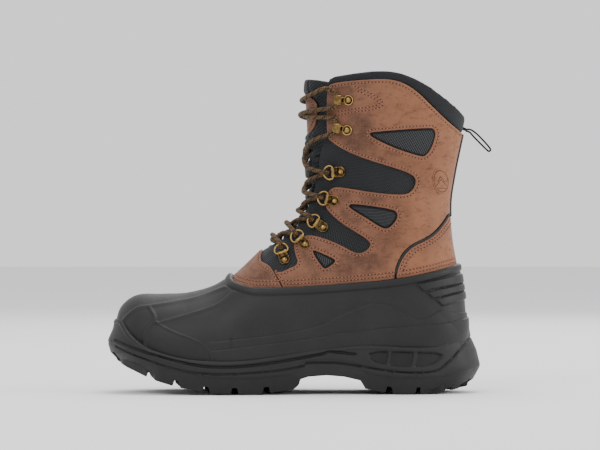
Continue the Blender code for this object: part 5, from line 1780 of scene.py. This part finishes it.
def swell(obj, voxel, inset, cap, seams=None):
    """Turns a closed mesh into a stuffed pad: remeshed, shrunk, and blown up by cloth simulation."""
    step = obj.modifiers.new("remesh", "REMESH")
    step.mode = "VOXEL"
    step.voxel_size = voxel * MM
    apply_all(obj)
    start = vertex_rows(obj.data, "co") - vertex_rows(obj.data, "normal") * inset * MM
    obj.data.vertices.foreach_set("co", start.ravel())
    blow_up(obj, start, cap)
    smooth = obj.modifiers.new("smooth", "SMOOTH")
    smooth.iterations = 3
    divide = obj.modifiers.new("divide", "SUBSURF")
    divide.levels = 1
    divide.render_levels = 1
    apply_all(obj)
    mesh = obj.data
    points = vertex_rows(mesh, "co") / MM
    if seams:
        points = points - vertex_rows(mesh, "normal") * seams(points)[:, None]
        mesh.vertices.foreach_set("co", (points * MM).ravel())
    add_field(mesh, "flow", np.stack([points[:, 1], points[:, 2], np.zeros(len(points))], 1))
    mesh.polygons.foreach_set("use_smooth", [True] * len(mesh.polygons))
    return obj


def tongue_seams(points):
    """Sewn channels across the tongue and one up each side."""
    rows = np.full(len(points), 99.0)
    for height in TONGUE_CHANNELS:
        rows = np.minimum(rows, np.abs(points[:, 2] - height - 0.06 * np.abs(points[:, 1])))
    rows = np.minimum(rows, np.abs(np.abs(points[:, 1]) - TONGUE_SIDE_CHANNEL))
    return SEAM_DEPTH * hump(rows, 0, 1.3)


def tongue_bulge(patch):
    """How far the pad stands out between the laces, which press it in."""
    points = patch.at()
    lace = np.concatenate([catmull(route, 2.0) for route in (lace_route(), *LACE_TAILS.values())])
    gap = np.linalg.norm(points[:, None] - lace[None], axis=2).min(1)
    bulge = (PAD_BULGE + PAD_DENT) * ramp(gap, 1.8, 5.5) - PAD_DENT
    label = smooth_line(PATCH_OUTLINE, 1.5, closed=True)
    under_patch = ramp(outline_depth(points, patch.normals(), label), -3, 1)
    bulge = bulge * (1 - under_patch) + 1.1 * under_patch
    return bulge * (1 - ramp(np.abs(patch.fields["turn"]), 0.3, 0.85))


def build_tongue():
    patch = Patch((6, LAST), (-1.25, 1.25), pitch=2.4)
    points, normals = patch.at(TONGUE_LAYER[1]), patch.normals()
    narrow = outline_depth(points, normals, smooth_line(TONGUE_OUTLINE, 2.0, closed=True, rounds=1))
    wide = outline_depth(points, normals, smooth_line(TONGUE_WING, 2.0, closed=True, rounds=1))
    cut_to(patch, np.where(points[:, 1] < 0, wide, narrow), (0.0,))
    top = TONGUE_LAYER[1] - 0.4 + tongue_bulge(patch)
    pad = layer_object("tongue_pad", patch, top, TONGUE_LAYER[0] + 0.4)
    swell(pad, voxel=2.2, inset=0.9, cap=1.3, seams=tongue_seams)
    settle(pad, "nylon", "tongue", ["tongue"])
    seam = smooth_line(PATCH_SEAM, 1.0)
    leather_panel("tongue_leather_patch", "tongue_patch", (-1.2, 1.2), PATCH_OUTLINE, "tongue", [seam],
                  places=(12, LAST), offsets=(PATCH_TOP - PATCH_THICKNESS, PATCH_TOP), seed=8)
    sew("tongue_patch_stitching", seam, offset=PATCH_TOP)
    thread_object("tongue_patch_stitching", "tongue")


def build_collar():
    patch = Patch((14, LAST), (0.3, 2 * PI - 0.3), pitch=2.2)
    outline = smooth_line(shifted(LEATHER_TOP, 0.7, -1.2) + COLLAR_TOP[::-1], 1.5, closed=True, rounds=1)
    cut_to(patch, outline_depth(patch.at(0), patch.normals(), outline), (0.0,))
    pad = layer_object("collar_pad", patch, COLLAR_LAYER[1], COLLAR_LAYER[0])
    swell(pad, voxel=1.9, inset=0.35, cap=1.1)
    settle(pad, "collar_fabric", "root", ["collar"])


def build_gussets():
    """Thin bellows between the tongue and the shaft, a little slack."""
    for side_name, side in SIDES.items():
        turns = (0.05, 1.4) if side == LATERAL else (2 * PI - 1.4, 2 * PI - 0.05)
        patch = Patch((6, LAST), turns, pitch=1.5)
        points = patch.at(-3.4)
        outline = smooth_line(GUSSET_OUTLINE, 1.5, closed=True, rounds=1)
        depth = outline_depth(points, patch.normals(), outline)
        cut_to(patch, np.minimum(depth, np.abs(points[:, 1]) - 4), (0.0,))
        slack = 0.12 * ripple(patch.at(), 11, 31 + side)
        cloth = layer_object("gusset_cloth_" + side_name, patch, -3.1 + slack, -3.7 + slack)
        settle(cloth, "nylon", None, ["gusset_" + side_name])
        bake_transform(cloth)


# Name, slot, pitch, inner and outer offset, and height of the nap.
BOOTIE = [
    ("insulation_felt", "insulation", 3.2, (-6.4, -3.3), 0.0),
    ("lining_fleece", "lining", 1.9, (-7.4, -6.6), 0.3),
]


def build_bootie():
    """Felt insulation and the fleece lining inside it, open at the front and at the top."""
    opening = smooth_line(OPENING_OUTLINE, 2.0, closed=True, rounds=1)
    for name, slot, pitch, layer, nap in BOOTIE:
        patch = Patch((0.3, LAST), (0, 2 * PI), pitch, closed=True)
        points, normals = patch.at(layer[0]), patch.normals()
        top = height_over(smooth_line(shifted(LEATHER_TOP, -4, 0.2), 1.5), points[:, [0, 2]])
        floor = height_over(SOLE_LINE, points[:, [0, 2]]) - 2.6
        depth = np.minimum(np.where(points[:, 0] > 20, -top, 50), -outline_depth(points, normals, opening))
        depth = np.minimum(depth, floor)
        cut_to(patch, depth, (0.0,))
        rough = nap * ripple(patch.at(), 5, 41)
        made = layer_object(name, patch, layer[1], layer[0] + rough)
        settle(made, slot, "root", [name.split("_")[0]])


def build_footbed():
    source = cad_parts["footbed"]
    pad = link(bpy.data.objects.new("footbed_foam", mesh_from(source)))
    swell(pad, voxel=2.6, inset=0.5, cap=0.7)
    settle(pad, "foam", "footbed", ["footbed"])


def build_piping():
    """Thin cord along the front edge of the heel counter, round the back of the heel."""
    line = smooth_line(shifted(COUNTER_EDGE, -PIPING_GAP / 2, PIPING_GAP / 2)[::-1] + [(133.2, 151.5)], 1.0)
    halves = {}
    for side in (LATERAL, MEDIAL):
        place, turn = place_under(line[:, 0], line[:, 1], side, PIPING_LIFT)
        halves[side] = skin_point(place, turn, PIPING_LIFT)
    place, _ = place_under(*line[-1], LATERAL, PIPING_LIFT)
    back = skin_point(place, PI, PIPING_LIFT)
    path = catmull(np.concatenate([halves[LATERAL][::3], back, halves[MEDIAL][::-3]]), 0.8)
    cord = tube_object("counter_piping_cord", path, 0.85, 12)
    settle(cord, "cord", "root", ["counter_piping"])


EMBLEM = (123.8, 178.1)
EMBLEM_SIZE = (7.2, 10.6)
EMBLEM_LEAN = 0.12
CHEVRONS = ([(-4.2, -3.6), (0, 1.6), (4.2, -3.6)], [(-3.0, -0.2), (0, 4.0), (3.0, -0.2)],
            [(-3.6, -5.8), (3.6, -5.8)])


def build_emblem():
    """A plain embossed oval with generic peaks."""
    place, turn = place_under(*EMBLEM, LATERAL, LEATHER_TOP_OFFSET)
    patch = Patch((place[0] - 1.0, place[0] + 1.0), (turn[0] - 0.42, turn[0] + 0.42), pitch=0.3)
    points = patch.at(LEATHER_TOP_OFFSET)
    local = points[:, [0, 2]] - EMBLEM
    local = np.stack([local[:, 0] + EMBLEM_LEAN * local[:, 1], local[:, 1]], 1)
    reach = np.hypot(local[:, 0] / EMBLEM_SIZE[0], local[:, 1] / EMBLEM_SIZE[1])
    patch.fields["u"], patch.fields["v"] = local.T
    cut_to(patch, (1 - reach) * 8.5, (0.0, 0.4, 0.8))
    depth = patch.fields["depth"]
    local = np.stack([patch.fields["u"], patch.fields["v"]], 1)
    ring = hump(depth, 1.3, 0.6)
    peaks = np.zeros(len(local))
    for line in CHEVRONS:
        peaks = np.maximum(peaks, hump(line_distance(local, resample(line, 0.5)), 0, 0.65))
    pressed = np.maximum(ring, peaks)
    top = 2.3 + 0.5 * edge_profile(depth) - 0.45 * pressed
    # The pressed lines count as a near seam, so the leather finish paints shade down in them.
    seam = (9 - 12 * pressed).clip(0.3)
    oval = layer_object("emblem_embossed", patch, top, 1.6, {"depth": depth + 2, "seam": seam}, closed=False)
    settle(oval, "leather", "root")


def finish_inner_nodes():
    """Hard parts hidden in the sole keep their CAD shape and get a finish."""
    for node, slot in (("midsole", "foam"), ("insole_board", "board"), ("shank", "steel")):
        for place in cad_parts[node].material_slots:
            place.material = FINISHES[slot]


build_tongue()
build_collar()
build_gussets()
build_bootie()
build_footbed()
build_piping()
build_emblem()
finish_inner_nodes()


# --- Floor, light and close -----------------------------------------------------------------------

WORLD_STRENGTH = 1.15
# Name, place, target, size and power of each soft lamp.
LAMPS = [
    ("key", (-1.1, -1.9, 1.6), (0, 0, 0.14), 1.1, 20),
    ("fill", (1.7, -1.5, 0.9), (0, 0, 0.12), 1.2, 7),
    ("top", (0.1, 0.3, 2.2), (0, 0, 0.1), 1.4, 26),
    ("back", (0.5, 1.9, 1.3), (0, 0, 0.15), 1.2, 14),
    ("heel_side", (2.0, -0.3, 0.7), (0.1, 0, 0.15), 0.9, 16),
]


def floor_finish():
    f = Finish("floor_white", 0.9, Specular_IOR_Level=0.0)
    f.colour(f.mix(f.noise(2, 1, 0.5), (0.83, 0.83, 0.83), (0.85, 0.85, 0.85)))
    return f.material


def build_stage():
    bpy.ops.mesh.primitive_plane_add(size=14, location=(0, 1.5, -0.0006))
    floor = bpy.context.object
    floor.name = "floor"
    floor.data.materials.append(floor_finish())
    world = bpy.data.worlds.new("studio")
    bpy.context.scene.world = world
    world.use_nodes = True
    background = world.node_tree.nodes["Background"]
    background.inputs["Color"].default_value = (1, 1, 1, 1)
    background.inputs["Strength"].default_value = WORLD_STRENGTH
    for name, place, target, size, power in LAMPS:
        area_light(name, place, target, size, power)


build_stage()
